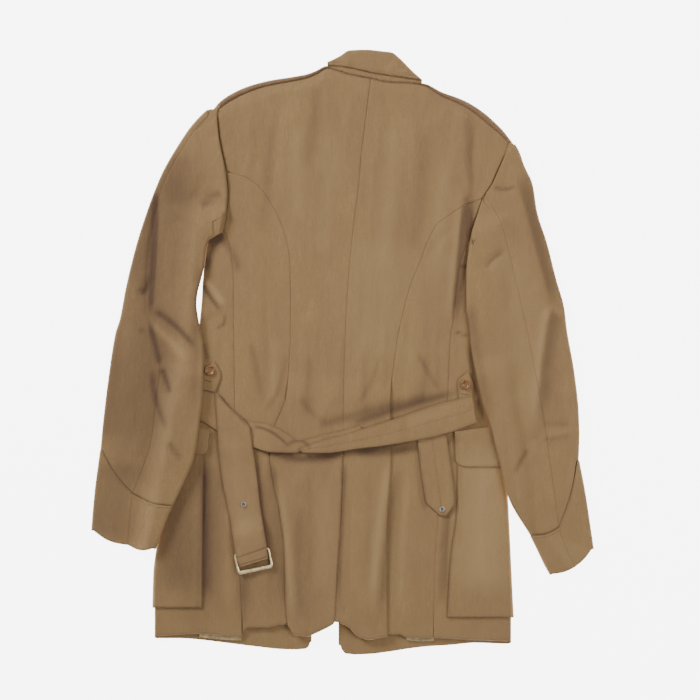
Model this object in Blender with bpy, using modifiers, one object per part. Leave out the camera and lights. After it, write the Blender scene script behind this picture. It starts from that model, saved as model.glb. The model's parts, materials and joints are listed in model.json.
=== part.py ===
"""Officer's belted service jacket, laid flat with its back up.

Metres, +Z up. +X runs to the right of the laid jacket, +Y towards its collar.
The tables are in millimetres from the middle of the laid jacket: x across, up
towards the collar. Every cloth piece is a grid that is placed on a level of the
lay (z of its outer face) and given its wall by Solidify.
"""
import math

import bmesh
import bpy

MM = 0.001

# Walls and clearances, in millimetres
CLOTH = 2.2
BELT = 2.6
TAB = 2.0
LINING = 1.0
SEAM_GAP = 0.3
ARMHOLE_GAP = 0.7
LAY_GAP = 0.4

# Levels of the lay: height of an outer face above the surface it lies on
BACK_LEVEL = 6.6
BACK_CROWN = 1.6
CROWN_HALF_WIDTH = 130.0
LEAST_LEVEL = 2 * CLOTH + 0.5
SKIRT_LIFT = CLOTH + 1.2
STRIP_GAP = 0.8
SLEEVE_RISE = 2 * CLOTH + 3.8
SLEEVE_OVER_SIDE = 0.8
SLEEVE_OVER_POCKET = 6.6
POCKET_BELLOWS = 0.8
BELT_STEP = BELT + STRIP_GAP

# Button, eyelet and buckle sizes
BUTTON_RADIUS = 7.1
BUTTON_HEIGHT = 3.4
EYELET_RADIUS = 3.1
EYELET_WIRE = 0.9
EYELET_DOME = 1.3
BUCKLE_LENGTH = 49.0
BUCKLE_DEPTH = 28.0
BUCKLE_BAR = 3.4
BUCKLE_TURN = math.radians(11.9)

COLOURS = {
    "cloth": (0.30, 0.20, 0.115, 1.0),
    "lining": (0.62, 0.55, 0.40, 1.0),
    "horn": (0.33, 0.13, 0.035, 1.0),
    "brass": (0.80, 0.58, 0.25, 1.0),
    "steel": (0.55, 0.54, 0.50, 1.0),
}


def table(columns, *rows):
    """Rows of numbers under named columns."""
    names = columns.split()
    return [dict(zip(names, row)) for row in rows]


# Outline and seams of the body, each a line x of up
SIDE_FOLD_LEFT = table(
    "up x",
    (174, -189), (155, -197), (130, -200), (103, -202.5), (75, -204), (45, -207), (3, -213),
    (-55, -223), (-99, -230), (-142, -239), (-215, -253), (-281, -266), (-323, -271), (-413, -273))
SIDE_FOLD_RIGHT = table(
    "up x",
    (162, 205), (130, 205), (61, 202), (3, 208), (-55, 214), (-142, 226), (-210, 236),
    (-248, 238), (-310, 241), (-380, 244.5), (-416, 248))
SIDE_SEAM_LEFT = table(
    "up x",
    (175, -171), (148, -162), (104, -158), (17, -157), (-77, -156), (-142, -155), (-244, -152),
    (-331, -148), (-408, -144))
SIDE_SEAM_RIGHT = table(
    "up x",
    (162, 183), (130, 171), (87, 165), (45, 160), (17, 156), (-62, 152.5), (-142, 148.5),
    (-215, 141), (-299, 134), (-412, 131))
ARMHOLE_LEFT = table(
    "up x",
    (350, -182), (309, -178), (293, -175), (261, -168.5), (230, -165.5), (198, -168), (177, -172))
ARMHOLE_RIGHT = table(
    "up x",
    (301.5, 244), (270, 228), (243, 216), (222, 202.5), (198, 194), (177, 187.3), (162, 184))
BACK_SEAM_LEFT = table(
    "up x",
    (261, -168.4), (251, -136), (243, -126), (230, -113), (222, -108), (198, -94), (177, -86),
    (155, -80), (130, -76), (75, -75), (17, -75.5), (-12, -77), (-40, -79), (-68, -82))
BACK_SEAM_RIGHT = table(
    "up x",
    (222, 201.6), (210, 172), (198, 155), (186, 138), (177, 132), (155, 121), (130, 112), (104, 101),
    (75, 92), (45, 85), (17, 79), (-12, 75), (-40, 71), (-68, 69))
SKIRT_FOLD_LEFT = table(
    "up x",
    (-68, -82), (-84, -88), (-110, -99), (-146, -105), (-238, -90), (-289, -84), (-348, -83),
    (-399, -79))
SKIRT_FOLD_RIGHT = table(
    "up x",
    (-68, 69), (-142, 70), (-248, 65), (-411, 64.4))
UNDERLAP_LEFT = table(
    "up x",
    (-68, -82), (-84, -80), (-110, -83), (-142, -89), (-220, -78), (-300, -71), (-400, -66))
UNDERLAP_RIGHT = table(
    "up x",
    (-68, 69), (-84, 63), (-110, 58), (-142, 56), (-220, 52), (-410, 50))
CENTRE_BACK = table(
    "up x",
    (397, 41), (371, 35.4), (330, 31), (246, 23.8), (162, 13.6), (62, 5.8), (-38, 2),
    (-141, 0.6), (-248, -3), (-324, -8), (-392, -12))

# Shoulder and neck line of the back, hems, each a line up of x
TOP_LINE = table(
    "x up",
    (-182.6, 350), (-162.6, 364), (-135.8, 377), (-102, 387), (-69, 393), (-53, 396.5),
    (-37.7, 403), (-22, 411), (3.5, 403), (38, 396), (68.7, 390), (95, 389), (117, 386),
    (141, 372), (179, 354), (224, 319), (243, 301.5))
BACK_HEM = table(
    "x up",
    (-79, -399), (-72, -409), (-51.7, -411), (-41.5, -407.5), (-29, -402), (-12.5, -393),
    (-10.3, -390), (9.3, -397.5), (21.6, -410), (39, -416), (64.4, -411))
SIDE_HEM = table(
    "x up",
    (-280, -412), (-208, -408), (-147, -413), (-144, -403), (-138, -400), (-110, -399),
    (-86, -394.5), (-60, -394), (50, -406), (68, -408.5), (82, -409), (94.4, -413.4),
    (132, -414), (190, -417), (250, -419))
FRONT_HEM = table(
    "x up",
    (-275, -415), (-236, -415), (-207, -417), (-174, -421), (-125, -427), (-86, -431),
    (-60, -431.5), (-50, -428.5), (-46, -420), (-4, -425), (0, -434), (8, -438.8), (35, -438.2),
    (64, -435), (99, -429.5), (127, -426.5), (154, -425), (192, -421.5), (235, -423), (250, -422))

# Rows shared by all body panels, so that two panels meet at a seam row by row
HEM_ROW = -375
BODY_ROWS = (-330, -280, -230, -185, -142, -110, -84, -68, -40, -12, 17, 45, 75, 104,
             130, 155, 177, 198, 210, 222, 230, 243, 251, 261)
CHEST_ROWS = (278, 293)
SHOULDER_ROWS = 4

# Largest folds of the body: a line of three points, its reach and its height.
# A step is high on one side of its line and falls sharply to the other.
BODY_FOLDS = table(
    "x1 up1 x2 up2 x3 up3 reach height step",
    (177, 372, 181, 233, 160, 30, 46, 3.2, 1),
    (-206, 108, -188, 84, -172, 52, 30, 2.2, 1),
    (-117, 352, -100, 250, -76, 150, 20, -1.2, 0),
    (-70, 370, -50, 240, -30, 110, 24, 1.8, 0),
    (-8, 372, -14, 250, -20, 110, 15, -1.0, 0),
    (104, 350, 84, 240, 62, 110, 26, 2.0, 0),
    (140, 330, 128, 250, 112, 150, 15, -1.2, 0),
    (-52, 60, -40, 0, -46, -80, 18, 1.6, 0),
    (44, 50, 40, -20, 52, -90, 18, 1.4, 0),
    (-130, 110, -122, 10, -126, -80, 15, 1.4, 0),
    (120, 70, 112, 0, 118, -60, 15, 1.3, 0),
    (-70, -150, -58, -270, -60, -405, 20, 2.8, 0),
    (-24, -160, -30, -280, -30, -400, 14, -1.3, 0),
    (24, -150, 30, -270, 26, -405, 17, 2.2, 0),
    (68, -150, 52, -300, 33, -410, 12, 2.8, 0),
    (-120, -150, -118, -270, -112, -398, 15, 1.6, 0),
    (112, -160, 104, -280, 100, -405, 14, 1.6, 0))

# Sleeves: outlines and seams, x of up
OUTER_LEFT = table(
    "up x",
    (356.5, -188), (348, -199.5), (327.6, -219), (303, -236), (263, -259.4), (237.7, -270.6),
    (200, -284.5), (155, -298.7), (94, -313.7), (46, -323), (27.5, -329), (-35, -338.8),
    (-107, -347.5), (-140, -350.5))
INNER_LEFT = table(
    "up x",
    (172.5, -176), (161, -193), (145, -197.4), (122, -200), (104, -204.3), (85.5, -209),
    (69.5, -210.7), (45, -207.5), (13, -201.4), (-17.5, -200.3), (-62.5, -201.4), (-101.6, -206),
    (-152, -213.6), (-184, -226.5), (-220.5, -244))
HIND_LEFT = table(
    "up x",
    (345, -189.5), (340.5, -194.5), (321.6, -212.3), (298, -228.5), (258.7, -251.6),
    (234.3, -262.3), (196, -270.5), (151, -272.8), (120, -274.4), (46, -279.3), (13, -270.6),
    (-20, -263.4), (-70, -269), (-128, -276.4), (-171, -289.5), (-202, -302.5))
FOREARM_LEFT = table(
    "up x",
    (349, -184), (300, -180), (261, -173), (230, -168.5), (209, -170), (201, -194), (186, -215),
    (152, -230), (111, -239), (60, -238), (0, -232), (-100, -240), (-150, -253), (-200, -265))
OUTER_RIGHT = table(
    "up x",
    (305, 247), (290, 256), (270, 263), (243.5, 275), (202, 282), (158, 296), (107, 309),
    (64, 321), (32, 325), (-28, 335.5), (-87, 342), (-120, 343), (-154, 342))
INNER_RIGHT = table(
    "up x",
    (168, 186.2), (148, 182), (113, 178.5), (62, 178.5), (42, 182), (3, 186), (-38, 193.5),
    (-74, 202), (-107.5, 213.5), (-142, 221.5), (-167, 228), (-186, 232), (-212, 239.6),
    (-265, 271))
HIND_RIGHT = table(
    "up x",
    (226, 206), (194, 225), (158, 237), (133, 243), (90, 253), (29, 267), (-41, 280.5),
    (-113, 293.5), (-186, 303.6), (-251, 312))
FOREARM_RIGHT = table(
    "up x",
    (301, 245.5), (270, 229.5), (243, 217.5), (222, 204.5), (205, 198.5), (190, 206), (167, 211),
    (120, 212), (65, 212), (5, 219), (-55, 232), (-115, 246), (-165, 258), (-210, 268), (-246, 278))

# Rows of each sleeve panel: where the row meets the outline and its two seams
UNDER_SLEEVE_LEFT = table(
    "edge high low bow",
    (-222.2, -204.2, -198, -4), (-190, -165, -170, -3), (-130, -110, -120, 0),
    (-60, -50, -55, 0), (0, 5, 0, 0), (55, 60, 60, 0), (95, 118, 111, 0),
    (122, 175, 152, 0), (142, 240, 186, 0), (156, 300, 201, 0),
    (168, 343, 207, 0))
TOP_SLEEVE_LEFT = table(
    "edge high low bow",
    (-141.7, -204.2, -198, 4), (-110, -165, -160, 3), (-75, -110, -100, 0),
    (-30, -50, -40, 0), (10, 5, 10, 0), (60, 60, 60, 0), (125, 118, 111, 0),
    (190, 175, 152, 0), (250, 240, 215, 0), (308, 300, 285, 0), (351, 343, 338, 0))
UNDER_SLEEVE_RIGHT = table(
    "edge high low bow",
    (-266, -253, -246, 4), (-215, -205, -210, 2), (-170, -165, -165, 0),
    (-120, -115, -115, 0), (-60, -55, -55, 0), (0, 8, 5, 0), (52, 75, 65, 0),
    (95, 130, 120, 0), (130, 180, 167, 0), (156, 224, 203, 0))
TOP_SLEEVE_RIGHT = table(
    "edge high low bow",
    (-156.7, -253, -246, -4), (-125, -205, -190, -3), (-95, -165, -150, -2),
    (-65, -115, -110, 0), (-30, -55, -50, 0), (20, 8, 5, 0), (75, 75, 65, 0),
    (130, 130, 120, 0), (180, 180, 167, 0), (222, 224, 205, 0), (262, 258, 250, 0),
    (301, 295, 295, 0))
ROWS_BETWEEN = 2
HEAD_SHARE = 0.36

# Cuffs: rows from the hem of the cuff up to its seam
CUFF_LEFT = table(
    "outer_x outer_up inner_x inner_up seam_x seam_up bow",
    (-364, -258, -269, -284, -310, -279, 5), (-362.5, -238, -262.5, -267, -308.5, -255, 5),
    (-359, -200, -252, -238, -306, -229, 5), (-351.3, -142.5, -244.5, -223, -303.5, -205, 4))
CUFF_RIGHT = table(
    "outer_x outer_up inner_x inner_up seam_x seam_up bow",
    (364, -285, 300, -323, 336, -311, 2), (360, -258, 292, -309, 326, -291, 3),
    (352, -205, 281, -286, 318, -271, 4), (343, -157.5, 271.5, -267, 312.5, -254, 4))

# Folds that the sleeves carry in their upper wall
SLEEVE_FOLDS = table(
    "x1 up1 x2 up2 x3 up3 reach height step",
    (-258, 258, -280, 130, -279, 30, 42, -2.4, -1),
    (-275, 62, -246, 36, -208, 2, 12, -2.4, 0),
    (-262, 84, -232, 58, -203, 30, 14, 1.4, 0),
    (-240, -60, -246, -110, -232, -180, 14, 1.4, 0),
    (306, 64, 290, 0, 270, -136, 14, 1.8, 0),
    (234, 146, 218, 136, 204, 116, 8, -1.6, 0),
    (286, -104, 310, -107, 338, -106, 7, -1.2, 0),
    (300, 230, 300, 120, 318, -40, 14, -1.0, 0))

# Collar: sections from its left end to its right end
COLLAR = table(
    "x crest fall neck",
    (-22, 420, 414.6, 411.4), (-12, 424.6, 414.2, 408.6), (-2, 430, 413.4, 405.8),
    (10, 437, 411.6, 402.2), (34, 438, 406, 397.4), (55, 436, 402, 393.1), (71, 434, 399.6, 390.5),
    (81, 427, 398.4, 390.1), (99, 409, 395.6, 389.4), (107, 401.5, 394.4, 388.6))
COLLAR_WALL = 1.8
STAND_UNDER_FALL = 7.0
STAND_LEVEL = COLLAR_WALL + LAY_GAP + COLLAR_WALL

# Shoulder straps that show as a rim beyond the shoulder seam
STRAP_LEFT = table(
    "x rim",
    (-185, 4.2), (-172, 7.6), (-153, 8.2), (-133, 8.0), (-111, 7.4), (-86, 6.6), (-59, 6.0),
    (-44, 5.0), (-30, 4.0))
STRAP_RIGHT = table(
    "x rim",
    (126, 4.0), (142, 5.6), (160, 7.2), (180, 8.2), (201, 9.0), (224, 7.6), (239, 4.6))
STRAP_LEVEL = 6.2
STRAP_WALL = 1.4
STRAP_START = 1.2
SLOPE_SPAN = 12.0

# Belt stretches: rows from one end to the other, both edges, and lift over what it crosses
BELT_LEFT = table(
    "ax aup bx bup lift",
    (-152, -90, -149, -134, 0), (-137, -97.5, -130, -138, 0), (-104, -104.5, -104, -145, 0),
    (-79, -117.6, -72, -146, 0), (-63, -127.7, -54.6, -142.2, 0), (-30, -119, -25, -134, 0),
    (0.6, -111.8, 5, -126, 0), (25, -105, 28, -115, 0))
BELT_RIGHT = table(
    "ax aup bx bup lift",
    (-63, -138.6, -57, -145.5, 1), (-34, -127.7, -25.5, -146, 1), (0.6, -119, 25, -139.3, 1),
    (25, -111.8, 47, -137, 1), (76, -96, 90.5, -130.6, 1), (126.7, -78.4, 137, -121.5, 1),
    (158.6, -69.7, 167.3, -112.5, 1), (187, -62, 193.3, -102.8, 1))
BELT_TIP = table(
    "ax aup bx bup lift",
    (146.5, -98.7, 105, -110.3, 0), (150, -119.7, 108, -130.6, 0), (155.7, -155, 113.7, -175.6, 0),
    (160.6, -193, 118, -206, 0), (162.8, -216, 120.6, -217.6, 0), (157.5, -227, 130, -227, 0),
    (150, -237.4, 140.5, -236.6, 0))
BELT_BUCKLE_END = table(
    "ax aup bx bup lift",
    (-178, -60.5, -183.6, -59.5, 1), (-164.8, -77, -182.9, -77, 1), (-140, -98.7, -181.6, -98.7, 1),
    (-132.9, -111.8, -180.3, -117.6, 1), (-130.5, -132, -178.5, -139.3, 1),
    (-124.4, -172, -175, -178, 0.15), (-117.8, -228.5, -162.6, -241.7, 0.15),
    (-112.7, -258, -157.5, -271, 1.7), (-108.6, -282.4, -153.4, -295.9, 1.85),
    (-106.8, -297.4, -148.2, -310.4, 1.85))
BELT_SIDE = table(
    "ax aup bx bup lift",
    (-221, -51, -222, -97, 0), (-201, -55.2, -206, -100, 0), (-183.6, -59.6, -180.7, -114.7, 0),
    (-176, -61.5, -174, -118, 0))

# Pointed tabs at the waist, from the tip down
TAB_LEFT = table(
    "ax aup bx bup lift",
    (-184.6, -13.5, -188.4, -13.5, 0), (-176, -33.5, -201, -30, 0), (-183.5, -58.6, -207, -53.2, 0))
TAB_RIGHT = table(
    "ax aup bx bup lift",
    (183, -29, 179, -29, 0), (189, -50, 165.5, -44, 0), (187, -67, 168, -71, 0))

# Bellows pockets on the fronts where they come round to the top, and their flaps
POCKET_LEFT = table(
    "up x", (-371, -202.4), (-290, -202), (-210, -201), (-137, -200))
POCKET_RIGHT = table(
    "up x", (-384, 150.5), (-289, 157), (-240, 164), (-210, 166), (-163, 165.5), (-137, 165.5))
FLAP_LEFT = table(
    "up x", (-148.6, -204), (-145, -196.5), (-139, -194), (-122, -192.6), (-113, -191.8))
FLAP_RIGHT = table(
    "up x", (-166, 176), (-163, 168), (-157, 163.4), (-135, 162.4), (-115, 161.8))
FLAP_SLOPE = 0.34
POCKET_TURN_UNDER = math.radians(20)

# Buttons, eyelets and buckle: place on the lay
BUTTON_LEFT = (-191.4, -27.0)
BUTTON_RIGHT = (177.2, -47.5)
EYELET_BUCKLE_END = (-143.0, -220.0, 0.3)
EYELET_TIP = (143.4, -227.0, 0.0)
BUCKLE_FOOT = (-125.6, -314.9)

# Strips of lining that show where the hem has come undone
LINING_LEFT = table("x top low", (-208, -380, -413.5), (-178, -380, -416.5), (-147, -380, -418.5))
LINING_RIGHT = table("x top low", (92, -385, -417.5), (112, -385, -419.5), (132, -385, -419))


# Lines and clearances that several pieces share
SHOULDER_END_LEFT = -182.0
SHOULDER_END_RIGHT = 243.0
NECK_MIDDLE = 41.0
NECK_POINT_LEFT = (-22.0, 410.0)
NECK_POINT_RIGHT = (117.0, 385.0)
BACK_SHARES_LEFT = (0, 0.14, 0.2825, 0.4, 0.52, 0.64, 0.76, 0.88, 1)
BACK_SHARES_RIGHT = (0, 0.13, 0.26, 0.376, 0.5, 0.63, 0.75, 0.87, 1)
THROAT_UP = 300.0
FOOT_CLEARANCE = 1.0
FRONT_SEAM_GAP = 0.6
FRONT_BELOW_SHOULDER = 4.0
FOREARM_GAP = 1.0
SLEEVE_GAP = 0.25
HIND_HEAD_RIGHT = 226
ARMHOLE_FOOT_LEFT = 177
ARMHOLE_FOOT_RIGHT = 162
SEAM_FOOT = -68
SEAM_HEAD_LEFT = 261
SEAM_HEAD_RIGHT = 222
STEP_FALL = 4.0
HUG_END = 0.85


def hermite_slopes(xs, ys):
    """Slopes of a smooth line that doesn't overshoot its points."""
    steps = [(ys[i + 1] - ys[i]) / (xs[i + 1] - xs[i]) for i in range(len(xs) - 1)]
    slopes = [steps[0]]
    for before, after in zip(steps, steps[1:]):
        if before * after <= 0:
            slopes.append(0.0)
        else:
            slopes.append(2 * before * after / (before + after))
    slopes.append(steps[-1])
    return slopes


def line_of(rows, key, value):
    """A smooth line through two columns of a table, straight past its ends."""
    ordered = sorted(rows, key=lambda row: row[key])
    xs = [row[key] for row in ordered]
    ys = [row[value] for row in ordered]
    slopes = hermite_slopes(xs, ys)

    def at(x):
        if x <= xs[0]:
            return ys[0] + slopes[0] * (x - xs[0])
        if x >= xs[-1]:
            return ys[-1] + slopes[-1] * (x - xs[-1])
        i = 0
        while x > xs[i + 1]:
            i += 1
        span = xs[i + 1] - xs[i]
        t = (x - xs[i]) / span
        rise = ys[i + 1] - ys[i]
        bend_in = t * (1 - t) ** 2 * slopes[i] * span
        bend_out = t * t * (t - 1) * slopes[i + 1] * span
        return ys[i] + rise * t * t * (3 - 2 * t) + bend_in + bend_out

    return at


def along(rows, column):
    """A smooth line through one column, read by the share t of the way down the table."""
    numbered = [{"row": i, column: row[column]} for i, row in enumerate(rows)]
    read = line_of(numbered, "row", column)
    last = len(rows) - 1
    return lambda t: read(t * last)


def ramp(value, start, end):
    """0 at start, 1 at end, with soft ends."""
    t = min(1.0, max(0.0, (value - start) / (end - start)))
    return t * t * (3 - 2 * t)


side_left = line_of(SIDE_FOLD_LEFT, "up", "x")
side_right = line_of(SIDE_FOLD_RIGHT, "up", "x")
seam_left = line_of(SIDE_SEAM_LEFT, "up", "x")
seam_right = line_of(SIDE_SEAM_RIGHT, "up", "x")
armhole_left = line_of(ARMHOLE_LEFT, "up", "x")
armhole_right = line_of(ARMHOLE_RIGHT, "up", "x")
back_seam_left = line_of(BACK_SEAM_LEFT, "up", "x")
back_seam_right = line_of(BACK_SEAM_RIGHT, "up", "x")
skirt_left = line_of(SKIRT_FOLD_LEFT, "up", "x")
skirt_right = line_of(SKIRT_FOLD_RIGHT, "up", "x")
underlap_left = line_of(UNDERLAP_LEFT, "up", "x")
underlap_right = line_of(UNDERLAP_RIGHT, "up", "x")
centre_back = line_of(CENTRE_BACK, "up", "x")
top_line = line_of(TOP_LINE, "x", "up")
back_hem = line_of(BACK_HEM, "x", "up")
side_hem = line_of(SIDE_HEM, "x", "up")
front_hem = line_of(FRONT_HEM, "x", "up")


def back_edge_left(up):
    """Left edge of the back: armhole, then back seam, then skirt fold."""
    if up >= SEAM_HEAD_LEFT:
        return armhole_left(up)
    if up >= SEAM_FOOT:
        return back_seam_left(up)
    return skirt_left(up)


def back_edge_right(up):
    """Right edge of the back: armhole, then back seam, then skirt fold."""
    if up > SEAM_HEAD_RIGHT:
        return armhole_right(up)
    if up >= SEAM_FOOT:
        return back_seam_right(up)
    return skirt_right(up)


def side_back_left(up):
    """Outer and inner edge of the left side back."""
    outer = armhole_left(up) if up >= ARMHOLE_FOOT_LEFT else seam_left(up)
    inner = back_seam_left(up) if up >= SEAM_FOOT else underlap_left(up)
    return outer, inner


def side_back_right(up):
    """Inner and outer edge of the right side back."""
    inner = back_seam_right(up) if up >= SEAM_FOOT else underlap_right(up)
    outer = armhole_right(up) if up >= ARMHOLE_FOOT_RIGHT else seam_right(up)
    return inner, outer


def fold_height(folds, x, up):
    """Sum of the folds at a place."""
    total = 0.0
    for fold in folds:
        points = fold_points(fold)
        total += fold_at(fold, points, x, up)
    return total


def fold_points(fold, pieces=6):
    """Points on the curved line of one fold."""
    points = []
    for i in range(pieces + 1):
        t = i / pieces
        a, b, c = (1 - t) ** 2, 2 * t * (1 - t), t * t
        bend_x = 2 * fold["x2"] - (fold["x1"] + fold["x3"]) / 2
        bend_up = 2 * fold["up2"] - (fold["up1"] + fold["up3"]) / 2
        x = a * fold["x1"] + b * bend_x + c * fold["x3"]
        up = a * fold["up1"] + b * bend_up + c * fold["up3"]
        points.append((x, up))
    return points


def fold_at(fold, points, x, up):
    """Height of one fold at a place: soft across its line, fading at both ends."""
    nearest = None
    for i in range(len(points) - 1):
        (x1, y1), (x2, y2) = points[i], points[i + 1]
        dx, dy = x2 - x1, y2 - y1
        square = dx * dx + dy * dy
        t = ((x - x1) * dx + (up - y1) * dy) / square
        held = min(1.0, max(0.0, t))
        gap = math.hypot(x - x1 - held * dx, up - y1 - held * dy)
        side = dx * (up - y1) - dy * (x - x1)
        share = (i + held) / (len(points) - 1)
        if nearest is None or gap < nearest[0]:
            nearest = (gap, side, share)
    gap, side, share = nearest
    fade = ramp(share, 0.0, 0.16) * (1 - ramp(share, 0.84, 1.0))
    across = math.exp(-(gap / fold["reach"]) ** 2)
    if fold["step"] and side * fold["step"] > 0:
        across = math.exp(-(gap / STEP_FALL) ** 2)
    return fold["height"] * fade * across


def body_top(x, up):
    """Outer face of the top layer of the body."""
    crown = BACK_CROWN * math.exp(-(x / CROWN_HALF_WIDTH) ** 2)
    near_top = ramp(top_line(x) - up, 0.0, 16.0)
    level = LEAST_LEVEL + (BACK_LEVEL + crown - LEAST_LEVEL) * near_top
    return max(LEAST_LEVEL, level + fold_height(BODY_FOLDS, x, up) * near_top)


def skirt_lift(up):
    """How far the back lies above the side backs."""
    return SKIRT_LIFT * (1 - ramp(up, SEAM_FOOT, -30))


def back_top(x, up):
    return body_top(x, up) + skirt_lift(up)


def cover_top(x, up):
    """What a piece that is laid on the back rests on."""
    over_left = ramp(x - back_edge_left(up), -28, -7)
    over_right = ramp(back_edge_right(up) - x, -28, -7)
    return body_top(x, up) + skirt_lift(up) * over_left * over_right


def floor_level(x, up):
    return 0.0


hind_right = line_of(HIND_RIGHT, "up", "x")


def hind_and_armhole_right(up):
    """Seam of the right top sleeve: the hind seam, and the armhole above it."""
    if up <= HIND_HEAD_RIGHT:
        return hind_right(up)
    return armhole_right(up) + ARMHOLE_GAP


def sleeve_floor(x, up):
    """Under side of a sleeve: on the table, or raised where it lies over the side."""
    if x < 0:
        inside = min(x - side_left(up), ARMHOLE_FOOT_LEFT - up)
    else:
        inside = min(side_right(up) - x, ARMHOLE_FOOT_RIGHT - up)
    over = ramp(inside, -44, -9)
    pocket = SLEEVE_OVER_POCKET * (1 - ramp(up, -40, 0))
    return (body_top(x, up) + SLEEVE_OVER_SIDE + pocket) * over


def sleeve_top(x, up):
    folds = fold_height(SLEEVE_FOLDS, x, up)
    return sleeve_floor(x, up) + max(LEAST_LEVEL, SLEEVE_RISE + folds)


def section(stops, first_on_top, levels, runs, turns, bows=None, outs=None, hug=None):
    """Outer points of one row of cloth that runs between stops and folds over at the inner ones."""
    bottom, top = levels
    centres = []
    for i in range(1, len(stops) - 1):
        fold_x, fold_up = stops[i]
        from_x, from_up = stops[i - 1]
        length = math.hypot(fold_x - from_x, fold_up - from_up)
        out = outs[i - 1] if outs else ((fold_x - from_x) / length, (fold_up - from_up) / length)
        half = (top(fold_x, fold_up) - bottom(fold_x, fold_up)) / 2
        reach = min(half, 0.45 * length)
        centre = (fold_x - reach * out[0], fold_up - reach * out[1])
        centres.append((centre, out, reach))
    points = []
    on_top = first_on_top
    for leg in range(len(stops) - 1):
        start = stops[0] if leg == 0 else centres[leg - 1][0]
        end = stops[-1] if leg == len(stops) - 2 else centres[leg][0]
        length = math.hypot(end[0] - start[0], end[1] - start[1])
        level = top if on_top else bottom
        for i in range(0 if leg == 0 else 1, runs[leg] + 1):
            t = i / runs[leg]
            swell = bows[leg] * math.sin(math.pi * t) / length if bows else 0.0
            x = start[0] + (end[0] - start[0]) * t - swell * (end[1] - start[1])
            up = start[1] + (end[1] - start[1]) * t + swell * (end[0] - start[0])
            if hug and leg == 0 and t < HUG_END:
                x = hug(up)
            points.append((x, up, level(x, up)))
        if leg < len(stops) - 2:
            (cx, cup), out, reach = centres[leg]
            high, low = top(cx, cup), bottom(cx, cup)
            middle, half = (high + low) / 2, (high - low) / 2
            way = 1 if on_top else -1
            for i in range(1, turns + 1):
                angle = math.pi * i / turns
                swing = reach * math.sin(angle)
                points.append((cx + out[0] * swing, cup + out[1] * swing,
                               middle + way * half * math.cos(angle)))
            on_top = not on_top
    return points


def material(name):
    """Principled material of a finish, made once."""
    found = bpy.data.materials.get(name)
    if found:
        return found
    made = bpy.data.materials.new(name)
    made.use_nodes = True
    shader = made.node_tree.nodes["Principled BSDF"]
    shader.inputs["Base Color"].default_value = COLOURS[name]
    metal = name in ("brass", "steel")
    shader.inputs["Metallic"].default_value = 1.0 if metal else 0.0
    shader.inputs["Roughness"].default_value = 0.32 if metal else 0.88
    if name == "horn":
        shader.inputs["Roughness"].default_value = 0.3
    made.diffuse_color = COLOURS[name]
    return made


def keep(obj, finish):
    """Give an object its finish and put it in the jacket's collection."""
    obj.data.materials.clear()
    obj.data.materials.append(material(finish))
    for owner in list(obj.users_collection):
        owner.objects.unlink(obj)
    bpy.data.collections["service_jacket"].objects.link(obj)
    return obj


def grid_patch(bm, rows):
    """Add one grid whose points are the given rows, lowest row first."""
    columns = len(rows[0])
    made = bmesh.ops.create_grid(
        bm, x_segments=columns - 1, y_segments=len(rows) - 1, size=0.5)
    for vert in made["verts"]:
        i = round((vert.co.x + 0.5) * (columns - 1))
        j = round((vert.co.y + 0.5) * (len(rows) - 1))
        x, up, level = rows[j][i]
        vert.co = (x * MM, up * MM, level * MM)


def cloth(name, patches, wall, finish="cloth"):
    """A wall of cloth whose outer face goes through one or more patches of rows."""
    bm = bmesh.new()
    for rows in patches:
        grid_patch(bm, rows)
    if len(patches) > 1:
        bmesh.ops.remove_doubles(bm, verts=bm.verts, dist=0.00001)
    mesh = bpy.data.meshes.new(name)
    bm.to_mesh(mesh)
    bm.free()
    obj = bpy.data.objects.new(name, mesh)
    bpy.context.scene.collection.objects.link(obj)
    shell = obj.modifiers.new("wall", "SOLIDIFY")
    shell.thickness = wall * MM
    shell.offset = -1
    mesh.shade_smooth()
    return keep(obj, finish)


def columns_to_rows(columns):
    return [[column[j] for column in columns] for j in range(len(columns[0]))]


def body_levels(hem, top=None, head=None):
    """Rows of up for one column of a body panel, from its hem to its top."""
    levels = [hem, (hem + BODY_ROWS[0]) / 2]
    if head is not None:
        below = [up for up in BODY_ROWS if up < head]
        return levels + below + [below[-1] + (head - below[-1]) * HEAD_SHARE]
    levels += BODY_ROWS + CHEST_ROWS
    chest = levels[-1]
    for step in range(1, SHOULDER_ROWS + 1):
        levels.append(chest + (top - chest) * step / SHOULDER_ROWS)
    return levels


def armhole_hollow(side, low, high, share):
    """How far the armhole lies outside the straight line between two of its points."""
    armhole_at = armhole_left if side < 0 else armhole_right
    straight = armhole_at(low) + (armhole_at(high) - armhole_at(low)) * share
    return armhole_at(low + (high - low) * share) - straight


def make_back(name, side):
    """Half of the back, from the centre seam to the armhole and the back seam."""
    shares = BACK_SHARES_LEFT if side < 0 else BACK_SHARES_RIGHT
    count = len(shares) - 1
    shoulder = SHOULDER_END_LEFT if side < 0 else SHOULDER_END_RIGHT
    edge_at = back_edge_left if side < 0 else back_edge_right
    skirt_edge = edge_at(HEM_ROW)
    chest = CHEST_ROWS[-1]
    columns = []
    for i in range(count + 1):
        out = shares[count - i] if side < 0 else shares[i]
        hem_x = centre_back(HEM_ROW) + (skirt_edge - centre_back(HEM_ROW)) * out
        top_x = NECK_MIDDLE + (shoulder - NECK_MIDDLE) * out
        column = []
        for up in body_levels(back_hem(hem_x), top=top_line(top_x)):
            level = min(up, chest)
            inner = centre_back(level) + side * SEAM_GAP / 2
            x = inner + (edge_at(level) - side * SEAM_GAP / 2 - inner) * out
            if up > chest:
                share = (up - chest) / (top_line(top_x) - chest)
                hollow = armhole_hollow(side, chest, top_line(shoulder), share)
                x += (top_x + side * SEAM_GAP / 2 - x) * share + hollow * out
            column.append((x, up, back_top(x, up)))
        columns.append(column)
    return cloth(name, [columns_to_rows(columns)], CLOTH)


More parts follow.
